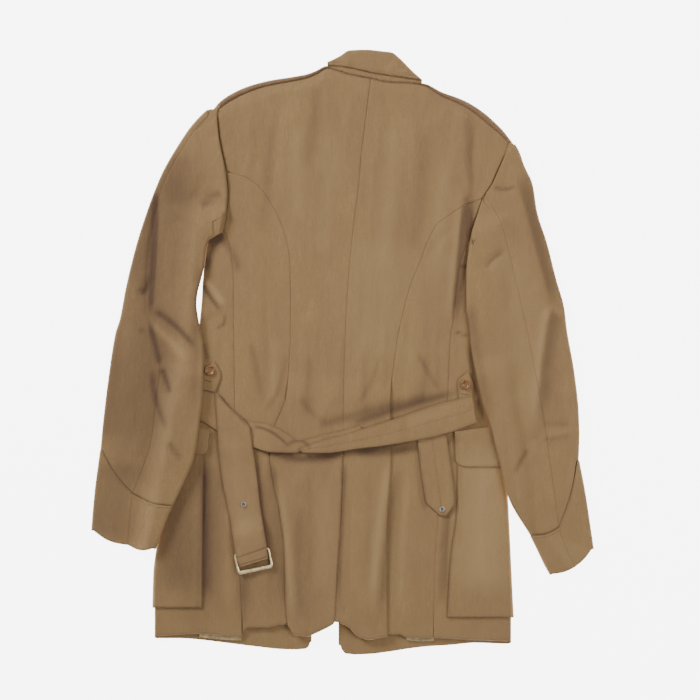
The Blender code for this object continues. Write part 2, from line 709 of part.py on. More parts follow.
def make_side_back(name, side):
    """Side back, from the side seam to the back seam and on under the back's skirt."""
    count = 6
    edges = side_back_left if side < 0 else side_back_right
    head = SEAM_HEAD_LEFT if side < 0 else SEAM_HEAD_RIGHT
    low_left, low_right = edges(HEM_ROW)
    columns = []
    for i in range(count + 1):
        share = i / count
        hem_x = low_left + (low_right - low_left) * share
        column = []
        levels = body_levels(side_hem(hem_x), head=head)
        for up in levels:
            left, right = edges(up)
            if up == levels[-1]:
                left, right = side_back_head(side, levels[-2], head, up)
            left += SEAM_GAP / 2
            right -= SEAM_GAP / 2
            x = left + (right - left) * share
            column.append((x, up, body_top(x, up)))
        columns.append(column)
    return cloth(name, [columns_to_rows(columns)], CLOTH)


def side_back_head(side, below, head, up):
    """Edges of the top row, with its inner edge on the straight last stretch of the back seam."""
    if side < 0:
        inner = back_edge_left(below)
        inner += (back_edge_left(head) - inner) * HEAD_SHARE
        return armhole_left(up), inner - 2 * SEAM_GAP
    inner = back_edge_right(below)
    inner += (back_edge_right(head) - inner) * HEAD_SHARE
    return inner + 2 * SEAM_GAP, armhole_right(up)


def front_edge(side, up):
    """Centre front edge of a front, as it lies under the back."""
    if side < 0:
        return centre_back(up) - 4 - 30 * ramp(-up, -20, 390)
    return centre_back(up) + 5


def front_chest_rows(side, foot, flat):
    """Rows of a front above the side fold: armhole, shoulder and plain neck edge."""
    neck_x, neck_up = NECK_POINT_LEFT if side < 0 else NECK_POINT_RIGHT
    shoulder = SHOULDER_END_LEFT if side < 0 else SHOULDER_END_RIGHT
    armhole_at = armhole_left if side < 0 else armhole_right
    throat_x = front_edge(side, THROAT_UP)
    end_x = shoulder - side * ARMHOLE_GAP
    end_up = top_line(end_x) - FRONT_BELOW_SHOULDER
    foot_x = armhole_at(foot) - side * ARMHOLE_GAP
    chest = []
    count = SHOULDER_ROWS + 2
    for step in range(1, count + 1):
        share = step / count
        hollow = armhole_hollow(side, foot, end_up, share)
        row = []
        for i in range(flat + 1):
            out = i / flat
            top_x = throat_x + (end_x - throat_x) * out
            top = top_line(top_x) - FRONT_BELOW_SHOULDER
            if side * top_x < side * neck_x:
                top = THROAT_UP + (neck_up - THROAT_UP) * (top_x - throat_x) / (neck_x - throat_x)
            start_x = front_edge(side, foot) + (foot_x - front_edge(side, foot)) * out
            x = start_x + (top_x - start_x) * share + hollow * out
            row.append((x, foot + (top - foot) * share, 0.0))
        chest.append(row)
    return chest


def make_front(name, side):
    """A front: flat on the table, round the side fold and up to the side seam."""
    flat, turn, over = 5, 4, 3
    foot = (ARMHOLE_FOOT_LEFT if side < 0 else ARMHOLE_FOOT_RIGHT) - FOOT_CLEARANCE
    side_at = side_left if side < 0 else side_right
    seam_at = seam_left if side < 0 else seam_right
    rows = []
    for up in [HEM_ROW] + [up for up in BODY_ROWS if up < foot] + [foot]:
        stops = [(front_edge(side, up), up), (side_at(up), up),
                 (seam_at(up) + side * FRONT_SEAM_GAP, up)]
        rows.append(section(stops, False, (floor_level, body_top), (flat, over), turn))
    hem = []
    for i, (x, up, level) in enumerate(rows[0]):
        round_the_fold = min(1.0, max(0.0, (i - flat) / turn))
        low = front_hem(x) + (side_hem(x) - front_hem(x)) * round_the_fold
        hem.append((x, low, level))
    rows.insert(0, hem)
    chest = [rows[-1][:flat + 1]] + front_chest_rows(side, foot, flat)
    patches = [rows, chest]
    if side > 0:
        patches = [[row[::-1] for row in patch] for patch in patches]
    return cloth(name, patches, CLOTH)


def outline_normal(way, lean):
    """Direction square to an outline that runs up and leans by the given share."""
    length = math.hypot(1, lean)
    return way / length, -way * lean / length


def sleeve_section(side, kind, row, counts, at_armhole):
    """One row of a sleeve panel: from its seam on top, round its edge, to its seam below."""
    curves = SLEEVE_LINES[(side, kind)]
    edge_at = curves["edge"]
    edge = (edge_at(row["edge"]), row["edge"])
    inward = curves["inward"]
    away = FOREARM_GAP if kind == "top" else -FOREARM_GAP
    high = (curves["high"](row["high"]) + inward * SLEEVE_GAP, row["high"])
    low = (curves["low"](row["low"]) + inward * FOREARM_GAP, row["low"] + away)
    lean = (edge_at(row["edge"] + 1) - edge_at(row["edge"] - 1)) / 2
    runs, turn = counts
    hug = curves["armhole"] if at_armhole else None
    levels = (sleeve_floor, sleeve_top)
    outs = [outline_normal(inward, lean)]
    return section([high, edge, low], True, levels, runs, turn, (row["bow"], 0), outs, hug)


def make_sleeve_panel(name, side, kind, rows_table, counts):
    """Top or under sleeve, rows from the cuff up to the armhole."""
    read = {key: along(rows_table, key) for key in rows_table[0]}
    count = ROWS_BETWEEN * (len(rows_table) - 1)
    rows = []
    for j in range(count + 1):
        row = {key: read[key](j / count) for key in read}
        points = sleeve_section(side, kind, row, counts, j == count)
        if SLEEVE_LINES[(side, kind)]["inward"] < 0:
            points = points[::-1]
        rows.append(points)
    return cloth(name, [rows], CLOTH)


def make_cuff(name, side, rows_table):
    """Cuff: one strip round the end of the sleeve, open at its seam."""
    columns = list(rows_table[0])
    read = {key: along(rows_table, key) for key in columns}
    hem, top = rows_table[0], rows_table[-1]
    leans = [(top[edge + "_x"] - hem[edge + "_x"]) / (top[edge + "_up"] - hem[edge + "_up"])
             for edge in ("inner", "outer")]
    outs = [outline_normal(-side, leans[0]), outline_normal(side, leans[1])]
    if side > 0:
        outs = outs[::-1]
    rows = []
    count = 4
    for j in range(count + 1):
        row = {key: read[key](j / count) for key in columns}
        seam = (row["seam_x"] + SEAM_GAP, row["seam_up"])
        seam_end = (row["seam_x"] - SEAM_GAP, row["seam_up"])
        first, second = (row["inner_x"], row["inner_up"]), (row["outer_x"], row["outer_up"])
        if side > 0:
            first, second = second, first
        stops = [seam, first, second, seam_end]
        bows = (-row["bow"], 0, -row["bow"])
        levels = (sleeve_floor, sleeve_top)
        rows.append(section(stops, True, levels, (3, 6, 3), 4, bows, outs))
    return cloth(name, [rows], CLOTH)


def stand_top(x, up):
    return STAND_LEVEL


def make_collar():
    """The fall of the collar, folded over its crest, and the stand under it."""
    count = 12
    read = {key: along(COLLAR, key) for key in ("x", "crest", "fall", "neck")}
    fall, stand = [], []
    for j in range(count + 1):
        t = 1 - j / count
        x, crest, low, neck = (read[key](t) for key in ("x", "crest", "fall", "neck"))
        depth = crest - low
        under = max(low - 0.45 * depth, neck + 1.0)
        stops = [(x, low), (x, crest), (x, under)]
        fall.append(section(stops, True, (floor_level, collar_top), (4, 4), 4))
        cover = min(low + STAND_UNDER_FALL, low + 0.4 * depth)
        stand.append([(x, neck + SEAM_GAP + (cover - neck) * i / 2, STAND_LEVEL)
                      for i in range(3)])
    cloth("collar_fall", [fall], COLLAR_WALL)
    cloth("collar_stand", [stand[1:-1]], COLLAR_WALL)


def collar_top(x, up):
    return STAND_LEVEL + LAY_GAP + COLLAR_WALL


def shoulder_chord(side):
    """Straight stretches of the back's top row, from the neck to the shoulder's end."""
    shoulder = SHOULDER_END_LEFT if side < 0 else SHOULDER_END_RIGHT
    shares = BACK_SHARES_LEFT if side < 0 else BACK_SHARES_RIGHT
    stations = sorted(NECK_MIDDLE + (shoulder - NECK_MIDDLE) * share for share in shares)

    def at(x):
        i = 0
        while i < len(stations) - 2 and x > stations[i + 1]:
            i += 1
        first, second = stations[i], stations[i + 1]
        rise = (top_line(second) - top_line(first)) / (second - first)
        return top_line(first) + rise * (x - first)

    return at


def make_strap(name, side, rows_table):
    """Shoulder strap: the rim that shows beyond the shoulder seam, curved down over it."""
    count = 12
    edge_at = shoulder_chord(side)
    x_at, rim_at = along(rows_table, "x"), along(rows_table, "rim")
    rows = []
    for j in range(count + 1):
        t = 1 - j / count
        x, rim = x_at(t), rim_at(t)
        slope = (edge_at(x + SLOPE_SPAN) - edge_at(x - SLOPE_SPAN)) / (2 * SLOPE_SPAN)
        length = math.hypot(1, slope)
        out_x, out_up = -slope / length, 1 / length
        edge_up = edge_at(x)
        row = []
        for reach, level in ((STRAP_START, 1.0), (0.6 * rim, 1.0), (rim, 0.62), (rim, 0.12)):
            row.append((x + out_x * reach, edge_up + out_up * reach, STRAP_LEVEL * level))
        rows.append(row)
    return cloth(name, [rows], STRAP_WALL)


def make_strip(name, rows_table, wall, count, across=3):
    """A flat strip that is laid on the back, such as a belt or a tab."""
    read = {key: along(rows_table, key) for key in rows_table[0]}
    rows = []
    for j in range(count + 1):
        row = {key: read[key](j / count) for key in read}
        points = []
        for i in range(across + 1):
            u = i / across
            x = row["ax"] + (row["bx"] - row["ax"]) * u
            up = row["aup"] + (row["bup"] - row["aup"]) * u
            level = cover_top(x, up) + STRIP_GAP + wall + row["lift"] * BELT_STEP
            points.append((x, up, level))
        rows.append(points)
    return cloth(name, [rows], wall)


def skin_row(side, up, inner_x, offset, across):
    """One row of a piece on a front: from its inner edge, out and down round the side fold."""
    side_x = side_left(up) if side < 0 else side_right(up)
    half = body_top(side_x, up) / 2
    centre = side_x - side * half
    points = []
    for i in range(across + 1):
        x = inner_x + (centre - inner_x) * i / across
        points.append((x, up, body_top(x, up) + offset))
    reach = half + offset
    for step in range(1, 4):
        angle = math.pi / 2 - (math.pi / 2 + POCKET_TURN_UNDER) * step / 3
        x = centre + side * reach * math.cos(angle)
        points.append((x, up, half + reach * math.sin(angle)))
    return points if side > 0 else points[::-1]


def make_pocket(name, side, edge_table, top, low, count=9):
    """Bellows pocket, from its edge on the top round the side fold."""
    edge = line_of(edge_table, "up", "x")
    offset = LAY_GAP + POCKET_BELLOWS + CLOTH
    rows = []
    for j in range(count + 1):
        up = low + (top - low) * j / count
        rows.append(skin_row(side, up, edge(up), offset, 4))
    return cloth(name, [rows], CLOTH)


def make_flap(name, side, edge_table, count=6):
    """Pocket flap over the pocket, its upper edge sloping along the belt."""
    edge = line_of(edge_table, "up", "x")
    low = edge_table[0]["up"]
    high = edge_table[-1]["up"]
    offset = LAY_GAP + POCKET_BELLOWS + CLOTH + LAY_GAP + TAB
    rows = []
    for j in range(count + 1):
        up = low + (high - low) * j / count
        inner_x = edge(up)
        row = []
        for x, _, level in skin_row(side, up, inner_x, offset, 4):
            rise = FLAP_SLOPE * abs(x - inner_x) * (j / count) * (1 if side < 0 else 0.4)
            row.append((x, up + rise, level))
        rows.append(row)
    return cloth(name, [rows], TAB)


def make_lining(name, rows_table):
    """Strip of lining between front and back where the hem is open."""
    x_at, top_at, low_at = (along(rows_table, key) for key in ("x", "top", "low"))
    level = CLOTH + LAY_GAP + LINING
    rows = []
    for i in range(3):
        share = i / 2
        row = []
        for j in range(7):
            t = j / 6
            up = low_at(t) + (top_at(t) - low_at(t)) * share
            row.append((x_at(t), up, level))
        rows.append(row)
    return cloth(name, [rows], LINING, "lining")


def turned(name, profile, finish, place, steps=16, ring=False):
    """A turned piece: a profile of radius and height, screwed round its axis."""
    mesh = bpy.data.meshes.new(name)
    verts = [(radius * MM, 0.0, height * MM) for radius, height in profile]
    edges = [(i, i + 1) for i in range(len(verts) - 1)]
    if ring:
        edges.append((len(verts) - 1, 0))
    mesh.from_pydata(verts, edges, [])
    obj = bpy.data.objects.new(name, mesh)
    bpy.context.scene.collection.objects.link(obj)
    screw = obj.modifiers.new("turn", "SCREW")
    screw.steps = steps
    screw.render_steps = steps
    screw.use_merge_vertices = True
    screw.merge_threshold = 0.00001
    obj.location = [value * MM for value in place]
    return keep(obj, finish)


def make_button(name, place):
    """Horn button with a raised rim and a dished middle, on its tab."""
    x, up = place
    r, h = BUTTON_RADIUS, BUTTON_HEIGHT
    profile = ((0, h * 0.62), (r * 0.55, h * 0.66), (r * 0.72, h * 0.92), (r * 0.86, h),
               (r, h * 0.72), (r, h * 0.42), (r * 0.8, 0), (0, 0))
    level = cover_top(x, up) + STRIP_GAP + TAB + LAY_GAP
    return turned(name, profile, "horn", (x, up, level))


def make_eyelet(name, place):
    """Steel eyelet pressed on the belt."""
    x, up, lift = place
    level = cover_top(x, up) + STRIP_GAP + BELT + lift * BELT_STEP + LAY_GAP
    r, w = EYELET_RADIUS, EYELET_WIRE
    profile = ((r - w, 0.0), (r - w, w), (r, w * EYELET_DOME), (r + w, w), (r + w, 0.0))
    return turned(name, profile, "steel", (x, up, level), ring=True)


def make_buckle():
    """Rectangular brass frame that the belt end is looped round."""
    ux, uy = math.cos(BUCKLE_TURN), math.sin(BUCKLE_TURN)
    half = BUCKLE_LENGTH / 2
    foot_x, foot_up = BUCKLE_FOOT
    corners = []
    for across, deep in ((-half, 0), (half, 0), (half, BUCKLE_DEPTH), (-half, BUCKLE_DEPTH)):
        corners.append((foot_x + across * ux - deep * uy, foot_up + across * uy + deep * ux))
    level = max(cover_top(x, up) for x, up in corners) + LAY_GAP + BUCKLE_BAR / 2
    curve = bpy.data.curves.new("buckle_frame", "CURVE")
    curve.dimensions = "3D"
    curve.bevel_depth = BUCKLE_BAR / 2 * MM
    curve.bevel_resolution = 2
    spline = curve.splines.new("POLY")
    spline.points.add(len(corners) - 1)
    for point, (x, up) in zip(spline.points, corners):
        point.co = (x * MM, up * MM, level * MM, 1.0)
    spline.use_cyclic_u = True
    obj = bpy.data.objects.new("buckle_frame", curve)
    bpy.context.scene.collection.objects.link(obj)
    return keep(obj, "brass")


def clear_scene():
    for obj in list(bpy.data.objects):
        bpy.data.objects.remove(obj, do_unlink=True)
    if "service_jacket" not in bpy.data.collections:
        made = bpy.data.collections.new("service_jacket")
        bpy.context.scene.collection.children.link(made)


def main():
    clear_scene()
    make_back("back_left", -1)
    make_back("back_right", 1)
    make_side_back("side_back_left", -1)
    make_side_back("side_back_right", 1)
    make_front("front_left", -1)
    make_front("front_right", 1)
    make_sleeve_panel("under_sleeve_left", -1, "under", UNDER_SLEEVE_LEFT, ((5, 4), 4))
    make_sleeve_panel("top_sleeve_left", -1, "top", TOP_SLEEVE_LEFT, ((4, 4), 4))
    make_sleeve_panel("under_sleeve_right", 1, "under", UNDER_SLEEVE_RIGHT, ((5, 4), 4))
    make_sleeve_panel("top_sleeve_right", 1, "top", TOP_SLEEVE_RIGHT, ((4, 5), 4))
    make_cuff("cuff_left", -1, CUFF_LEFT)
    make_cuff("cuff_right", 1, CUFF_RIGHT)
    make_collar()
    make_strap("shoulder_strap_left", -1, STRAP_LEFT)
    make_strap("shoulder_strap_right", 1, STRAP_RIGHT)
    make_pocket("pocket_left", -1, POCKET_LEFT, -137, -370)
    make_pocket("pocket_right", 1, POCKET_RIGHT, -137, -384)
    make_flap("pocket_flap_left", -1, FLAP_LEFT)
    make_flap("pocket_flap_right", 1, FLAP_RIGHT)
    make_strip("belt_side", BELT_SIDE, BELT, 6)
    make_strip("belt_left", BELT_LEFT, BELT, 14)
    make_strip("belt_right", BELT_RIGHT, BELT, 14)
    make_strip("belt_tip", BELT_TIP, BELT, 12)
    make_strip("belt_buckle_end", BELT_BUCKLE_END, BELT, 18)
    make_strip("tab_left", TAB_LEFT, TAB, 6)
    make_strip("tab_right", TAB_RIGHT, TAB, 6)
    make_lining("lining_left", LINING_LEFT)
    make_lining("lining_right", LINING_RIGHT)
    make_button("button_left", BUTTON_LEFT)
    make_button("button_right", BUTTON_RIGHT)
    make_eyelet("eyelet_buckle_end", EYELET_BUCKLE_END)
    make_eyelet("eyelet_tip", EYELET_TIP)
    make_buckle()


SLEEVE_LINES = {
    (-1, "under"): {"edge": line_of(INNER_LEFT, "up", "x"), "high": line_of(HIND_LEFT, "up", "x"),
                    "low": line_of(FOREARM_LEFT, "up", "x"), "inward": 1,
                    "armhole": lambda up: armhole_left(up) - ARMHOLE_GAP},
    (-1, "top"): {"edge": line_of(OUTER_LEFT, "up", "x"), "high": line_of(HIND_LEFT, "up", "x"),
                  "low": line_of(FOREARM_LEFT, "up", "x"), "inward": -1, "armhole": None},
    (1, "under"): {"edge": line_of(INNER_RIGHT, "up", "x"), "high": line_of(HIND_RIGHT, "up", "x"),
                   "low": line_of(FOREARM_RIGHT, "up", "x"), "inward": -1,
                   "armhole": lambda up: armhole_right(up) + ARMHOLE_GAP},
    (1, "top"): {"edge": line_of(OUTER_RIGHT, "up", "x"), "high": hind_and_armhole_right,
                 "low": line_of(FOREARM_RIGHT, "up", "x"), "inward": 1, "armhole": None},
}


main()
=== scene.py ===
"""Officer's belted service jacket, laid flat with its back up: cloth, sewing and trim.

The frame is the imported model, in metres. The tables and the shape functions are in
millimetres from the middle of the laid jacket, x across and up towards the collar,
and each mesh is scaled to metres as it is made.
"""
import json
import math

import bmesh
import bpy
import numpy as np
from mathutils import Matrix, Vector, noise

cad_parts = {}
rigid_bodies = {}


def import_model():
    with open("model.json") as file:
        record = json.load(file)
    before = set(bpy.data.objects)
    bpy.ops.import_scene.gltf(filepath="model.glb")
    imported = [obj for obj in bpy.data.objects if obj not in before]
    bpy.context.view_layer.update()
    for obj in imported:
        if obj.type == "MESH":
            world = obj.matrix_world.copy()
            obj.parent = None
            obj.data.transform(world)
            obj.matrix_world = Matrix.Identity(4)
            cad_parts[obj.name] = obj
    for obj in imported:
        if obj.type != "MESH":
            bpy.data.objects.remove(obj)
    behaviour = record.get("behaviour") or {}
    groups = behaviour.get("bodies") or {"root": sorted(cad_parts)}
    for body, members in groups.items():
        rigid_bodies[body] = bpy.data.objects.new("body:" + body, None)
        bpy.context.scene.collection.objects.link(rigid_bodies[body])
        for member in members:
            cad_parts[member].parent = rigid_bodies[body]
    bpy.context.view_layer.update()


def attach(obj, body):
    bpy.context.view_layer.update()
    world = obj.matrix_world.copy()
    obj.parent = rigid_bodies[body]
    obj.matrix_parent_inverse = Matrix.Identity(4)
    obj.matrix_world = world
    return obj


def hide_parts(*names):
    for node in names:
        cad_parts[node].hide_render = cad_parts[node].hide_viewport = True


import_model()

bl_info = {
    "name": "Service jacket",
    "version": (1, 0, 0),
    "blender": (4, 5, 0),
    "location": "View3D > Sidebar > Jacket",
    "description": "Makes a belted service jacket that is laid flat with its back up",
    "category": "Object",
}

MM = 0.001

# Walls and clearances of the lay, in millimetres
CLOTH = 2.2
BELT = 2.6
TAB = 2.0
LAY_GAP = 0.4
BACK_LEVEL = 6.6
BACK_CROWN = 1.6
CROWN_HALF_WIDTH = 130.0
LEAST_LEVEL = 2 * CLOTH + 0.5
SKIRT_LIFT = CLOTH + 1.2
STRIP_GAP = 0.8
SLEEVE_RISE = 2 * CLOTH + 3.8
SLEEVE_OVER_SIDE = 0.8
SLEEVE_OVER_POCKET = 6.6
POCKET_BELLOWS = 0.8
BELT_STEP = BELT + STRIP_GAP

# Unrest of the worn cloth and sizes of the trim, in millimetres
UNREST = 0.45
SLEEVE_CROWN = 2.5
FRAY = 0.6
STRIP_UNREST = 0.3
BUTTON_RADIUS = 7.1
BUTTON_HEIGHT = 3.4
BUTTON_PROFILE = ((0.0, 0.52), (0.35, 0.53), (0.55, 0.58), (0.66, 0.74), (0.74, 0.92), (0.82, 0.995),
                  (0.88, 0.99), (0.94, 0.9), (0.985, 0.74), (1.0, 0.56), (0.97, 0.36), (0.88, 0.18),
                  (0.7, 0.05), (0.4, 0.0), (0.0, 0.0))
EYELET_HOLE = 2.2
BUCKLE_LENGTH = 49.0
BUCKLE_DEPTH = 28.0
BUCKLE_BAR = 3.4
BUCKLE_TURN = math.radians(11.9)
VENT_HEAD = -141.0

# Light of the stage: each lamp's name, place and size in metres, and power in watts
LAMPS = (("key", (-1.9, 1.6, 1.3), 0.9, 72.0), ("fill", (1.3, 0.1, 1.7), 1.4, 24.0),
         ("top", (0.3, 0.0, 2.9), 2.2, 12.0))
PAPER_GLOW = 6.0
SKY_STRENGTH = 0.3


def table(columns, *rows):
    """Rows of numbers under named columns."""
    names = columns.split()
    return [dict(zip(names, row)) for row in rows]


# Outline and seams of the body, each a line x of up
SIDE_FOLD_LEFT = table(
    "up x",
    (174, -189), (155, -197), (130, -200), (103, -202.5), (75, -204), (45, -207), (3, -213),
    (-55, -223), (-99, -230), (-142, -239), (-215, -253), (-281, -266), (-323, -271), (-413, -273))
SIDE_FOLD_RIGHT = table(
    "up x",
    (162, 205), (130, 205), (61, 202), (3, 208), (-55, 214), (-142, 226), (-210, 236),
    (-248, 238), (-310, 241), (-380, 244.5), (-416, 248))
SIDE_SEAM_LEFT = table(
    "up x",
    (175, -171), (148, -162), (104, -158), (17, -157), (-77, -156), (-142, -155), (-244, -152),
    (-331, -148), (-408, -144))
SIDE_SEAM_RIGHT = table(
    "up x",
    (162, 183), (130, 171), (87, 165), (45, 160), (17, 156), (-62, 152.5), (-142, 148.5),
    (-215, 141), (-299, 134), (-412, 131))
ARMHOLE_LEFT = table(
    "up x",
    (350, -182), (309, -178), (293, -175), (261, -168.5), (230, -165.5), (198, -168), (177, -172))
ARMHOLE_RIGHT = table(
    "up x",
    (301.5, 244), (270, 228), (243, 216), (222, 202.5), (198, 194), (177, 187.3), (162, 184))
BACK_SEAM_LEFT = table(
    "up x",
    (261, -168.4), (251, -136), (243, -126), (230, -113), (222, -108), (198, -94), (177, -86),
    (155, -80), (130, -76), (75, -75), (17, -75.5), (-12, -77), (-40, -79), (-68, -82))
BACK_SEAM_RIGHT = table(
    "up x",
    (222, 201.6), (210, 172), (198, 155), (186, 138), (177, 132), (155, 121), (130, 112), (104, 101),
    (75, 92), (45, 85), (17, 79), (-12, 75), (-40, 71), (-68, 69))
SKIRT_FOLD_LEFT = table(
    "up x",
    (-68, -82), (-84, -88), (-110, -99), (-146, -105), (-238, -90), (-289, -84), (-348, -83),
    (-399, -79))
SKIRT_FOLD_RIGHT = table(
    "up x",
    (-68, 69), (-142, 70), (-248, 65), (-411, 64.4))
UNDERLAP_LEFT = table(
    "up x",
    (-68, -82), (-84, -80), (-110, -83), (-142, -89), (-220, -78), (-300, -71), (-400, -66))
UNDERLAP_RIGHT = table(
    "up x",
    (-68, 69), (-84, 63), (-110, 58), (-142, 56), (-220, 52), (-410, 50))
CENTRE_BACK = table(
    "up x",
    (397, 41), (371, 35.4), (330, 31), (246, 23.8), (162, 13.6), (62, 5.8), (-38, 2),
    (-141, 0.6), (-248, -3), (-324, -8), (-392, -12))

# Shoulder and neck line of the back, hems, each a line up of x
TOP_LINE = table(
    "x up",
    (-182.6, 350), (-162.6, 364), (-135.8, 377), (-102, 387), (-69, 393), (-53, 396.5),
    (-37.7, 403), (-22, 411), (3.5, 403), (38, 396), (68.7, 390), (95, 389), (117, 386),
    (141, 372), (179, 354), (224, 319), (243, 301.5))
BACK_HEM = table(
    "x up",
    (-79, -399), (-72, -409), (-51.7, -411), (-41.5, -407.5), (-29, -402), (-12.5, -393),
    (-10.3, -390), (9.3, -397.5), (21.6, -410), (39, -416), (64.4, -411))
SIDE_HEM = table(
    "x up",
    (-280, -412), (-208, -408), (-147, -413), (-144, -403), (-138, -400), (-110, -399),
    (-86, -394.5), (-60, -394), (50, -406), (68, -408.5), (82, -409), (94.4, -413.4),
    (132, -414), (190, -417), (250, -419))
FRONT_HEM = table(
    "x up",
    (-275, -415), (-236, -415), (-207, -417), (-174, -421), (-125, -427), (-86, -431),
    (-60, -431.5), (-50, -428.5), (-46, -420), (-4, -425), (0, -434), (8, -438.8), (35, -438.2),
    (64, -435), (99, -429.5), (127, -426.5), (154, -425), (192, -421.5), (235, -423), (250, -422))

# Rows shared by all body panels, so that two panels meet at a seam row by row
HEM_ROW = -375
CHEST_ROWS = (278, 293)

# Largest folds of the body: a line of three points, its reach and its height.
# A step is high on one side of its line and falls sharply to the other.
BODY_FOLDS = table(
    "x1 up1 x2 up2 x3 up3 reach height step",
    (177, 372, 181, 233, 160, 30, 46, 3.2, 1),
    (-206, 108, -188, 84, -172, 52, 30, 2.2, 1),
    (-117, 352, -100, 250, -76, 150, 20, -1.2, 0),
    (-70, 370, -50, 240, -30, 110, 24, 1.8, 0),
    (-8, 372, -14, 250, -20, 110, 15, -1.0, 0),
    (104, 350, 84, 240, 62, 110, 26, 2.0, 0),
    (140, 330, 128, 250, 112, 150, 15, -1.2, 0),
    (-52, 60, -40, 0, -46, -80, 18, 1.6, 0),
    (44, 50, 40, -20, 52, -90, 18, 1.4, 0),
    (-130, 110, -122, 10, -126, -80, 15, 1.4, 0),
    (120, 70, 112, 0, 118, -60, 15, 1.3, 0),
    (-70, -150, -58, -270, -60, -405, 20, 2.8, 0),
    (-24, -160, -30, -280, -30, -400, 14, -1.3, 0),
    (24, -150, 30, -270, 26, -405, 17, 2.2, 0),
    (68, -150, 52, -300, 33, -410, 12, 2.8, 0),
    (-120, -150, -118, -270, -112, -398, 15, 1.6, 0),
    (112, -160, 104, -280, 100, -405, 14, 1.6, 0))

# Sleeves: outlines and seams, x of up
OUTER_LEFT = table(
    "up x",
    (356.5, -188), (348, -199.5), (327.6, -219), (303, -236), (263, -259.4), (237.7, -270.6),
    (200, -284.5), (155, -298.7), (94, -313.7), (46, -323), (27.5, -329), (-35, -338.8),
    (-107, -347.5), (-140, -350.5))
INNER_LEFT = table(
    "up x",
    (172.5, -176), (161, -193), (145, -197.4), (122, -200), (104, -204.3), (85.5, -209),
    (69.5, -210.7), (45, -207.5), (13, -201.4), (-17.5, -200.3), (-62.5, -201.4), (-101.6, -206),
    (-152, -213.6), (-184, -226.5), (-220.5, -244))
HIND_LEFT = table(
    "up x",
    (345, -189.5), (340.5, -194.5), (321.6, -212.3), (298, -228.5), (258.7, -251.6),
    (234.3, -262.3), (196, -270.5), (151, -272.8), (120, -274.4), (46, -279.3), (13, -270.6),
    (-20, -263.4), (-70, -269), (-128, -276.4), (-171, -289.5), (-202, -302.5))
FOREARM_LEFT = table(
    "up x",
    (349, -184), (300, -180), (261, -173), (230, -168.5), (209, -170), (201, -194), (186, -215),
    (152, -230), (111, -239), (60, -238), (0, -232), (-100, -240), (-150, -253), (-200, -265))
OUTER_RIGHT = table(
    "up x",
    (305, 247), (290, 256), (270, 263), (243.5, 275), (202, 282), (158, 296), (107, 309),
    (64, 321), (32, 325), (-28, 335.5), (-87, 342), (-120, 343), (-154, 342))
INNER_RIGHT = table(
    "up x",
    (168, 186.2), (148, 182), (113, 178.5), (62, 178.5), (42, 182), (3, 186), (-38, 193.5),
    (-74, 202), (-107.5, 213.5), (-142, 221.5), (-167, 228), (-186, 232), (-212, 239.6),
    (-265, 271))
HIND_RIGHT = table(
    "up x",
    (226, 206), (194, 225), (158, 237), (133, 243), (90, 253), (29, 267), (-41, 280.5),
    (-113, 293.5), (-186, 303.6), (-251, 312))
FOREARM_RIGHT = table(
    "up x",
    (301, 245.5), (270, 229.5), (243, 217.5), (222, 204.5), (205, 198.5), (190, 206), (167, 211),
    (120, 212), (65, 212), (5, 219), (-55, 232), (-115, 246), (-165, 258), (-210, 268), (-246, 278))

# Rows of each sleeve panel: where the row meets the outline and its two seams
UNDER_SLEEVE_LEFT = table(
    "edge high low bow",
    (-222.2, -204.2, -198, -4), (-190, -165, -170, -3), (-130, -110, -120, 0),
    (-60, -50, -55, 0), (0, 5, 0, 0), (55, 60, 60, 0), (95, 118, 111, 0),
    (122, 175, 152, 0), (142, 240, 186, 0), (156, 300, 201, 0),
    (168, 343, 207, 0))
TOP_SLEEVE_LEFT = table(
    "edge high low bow",
    (-141.7, -204.2, -198, 4), (-110, -165, -160, 3), (-75, -110, -100, 0),
    (-30, -50, -40, 0), (10, 5, 10, 0), (60, 60, 60, 0), (125, 118, 111, 0),
    (190, 175, 152, 0), (250, 240, 215, 0), (308, 300, 285, 0), (351, 343, 338, 0))
UNDER_SLEEVE_RIGHT = table(
    "edge high low bow",
    (-266, -253, -246, 4), (-215, -205, -210, 2), (-170, -165, -165, 0),
    (-120, -115, -115, 0), (-60, -55, -55, 0), (0, 8, 5, 0), (52, 75, 65, 0),
    (95, 130, 120, 0), (130, 180, 167, 0), (156, 224, 203, 0))
TOP_SLEEVE_RIGHT = table(
    "edge high low bow",
    (-156.7, -253, -246, -4), (-125, -205, -190, -3), (-95, -165, -150, -2),
    (-65, -115, -110, 0), (-30, -55, -50, 0), (20, 8, 5, 0), (75, 75, 65, 0),
    (130, 130, 120, 0), (180, 180, 167, 0), (222, 224, 205, 0), (262, 258, 250, 0),
    (301, 295, 295, 0))

# Cuffs: rows from the hem of the cuff up to its seam
CUFF_LEFT = table(
    "outer_x outer_up inner_x inner_up seam_x seam_up bow",
    (-364, -258, -269, -284, -310, -279, 5), (-362.5, -238, -262.5, -267, -308.5, -255, 5),
    (-359, -200, -252, -238, -306, -229, 5), (-351.3, -142.5, -244.5, -223, -303.5, -205, 4))
CUFF_RIGHT = table(
    "outer_x outer_up inner_x inner_up seam_x seam_up bow",
    (364, -285, 300, -323, 336, -311, 2), (360, -258, 292, -309, 326, -291, 3),
    (352, -205, 281, -286, 318, -271, 4), (343, -157.5, 271.5, -267, 312.5, -254, 4))

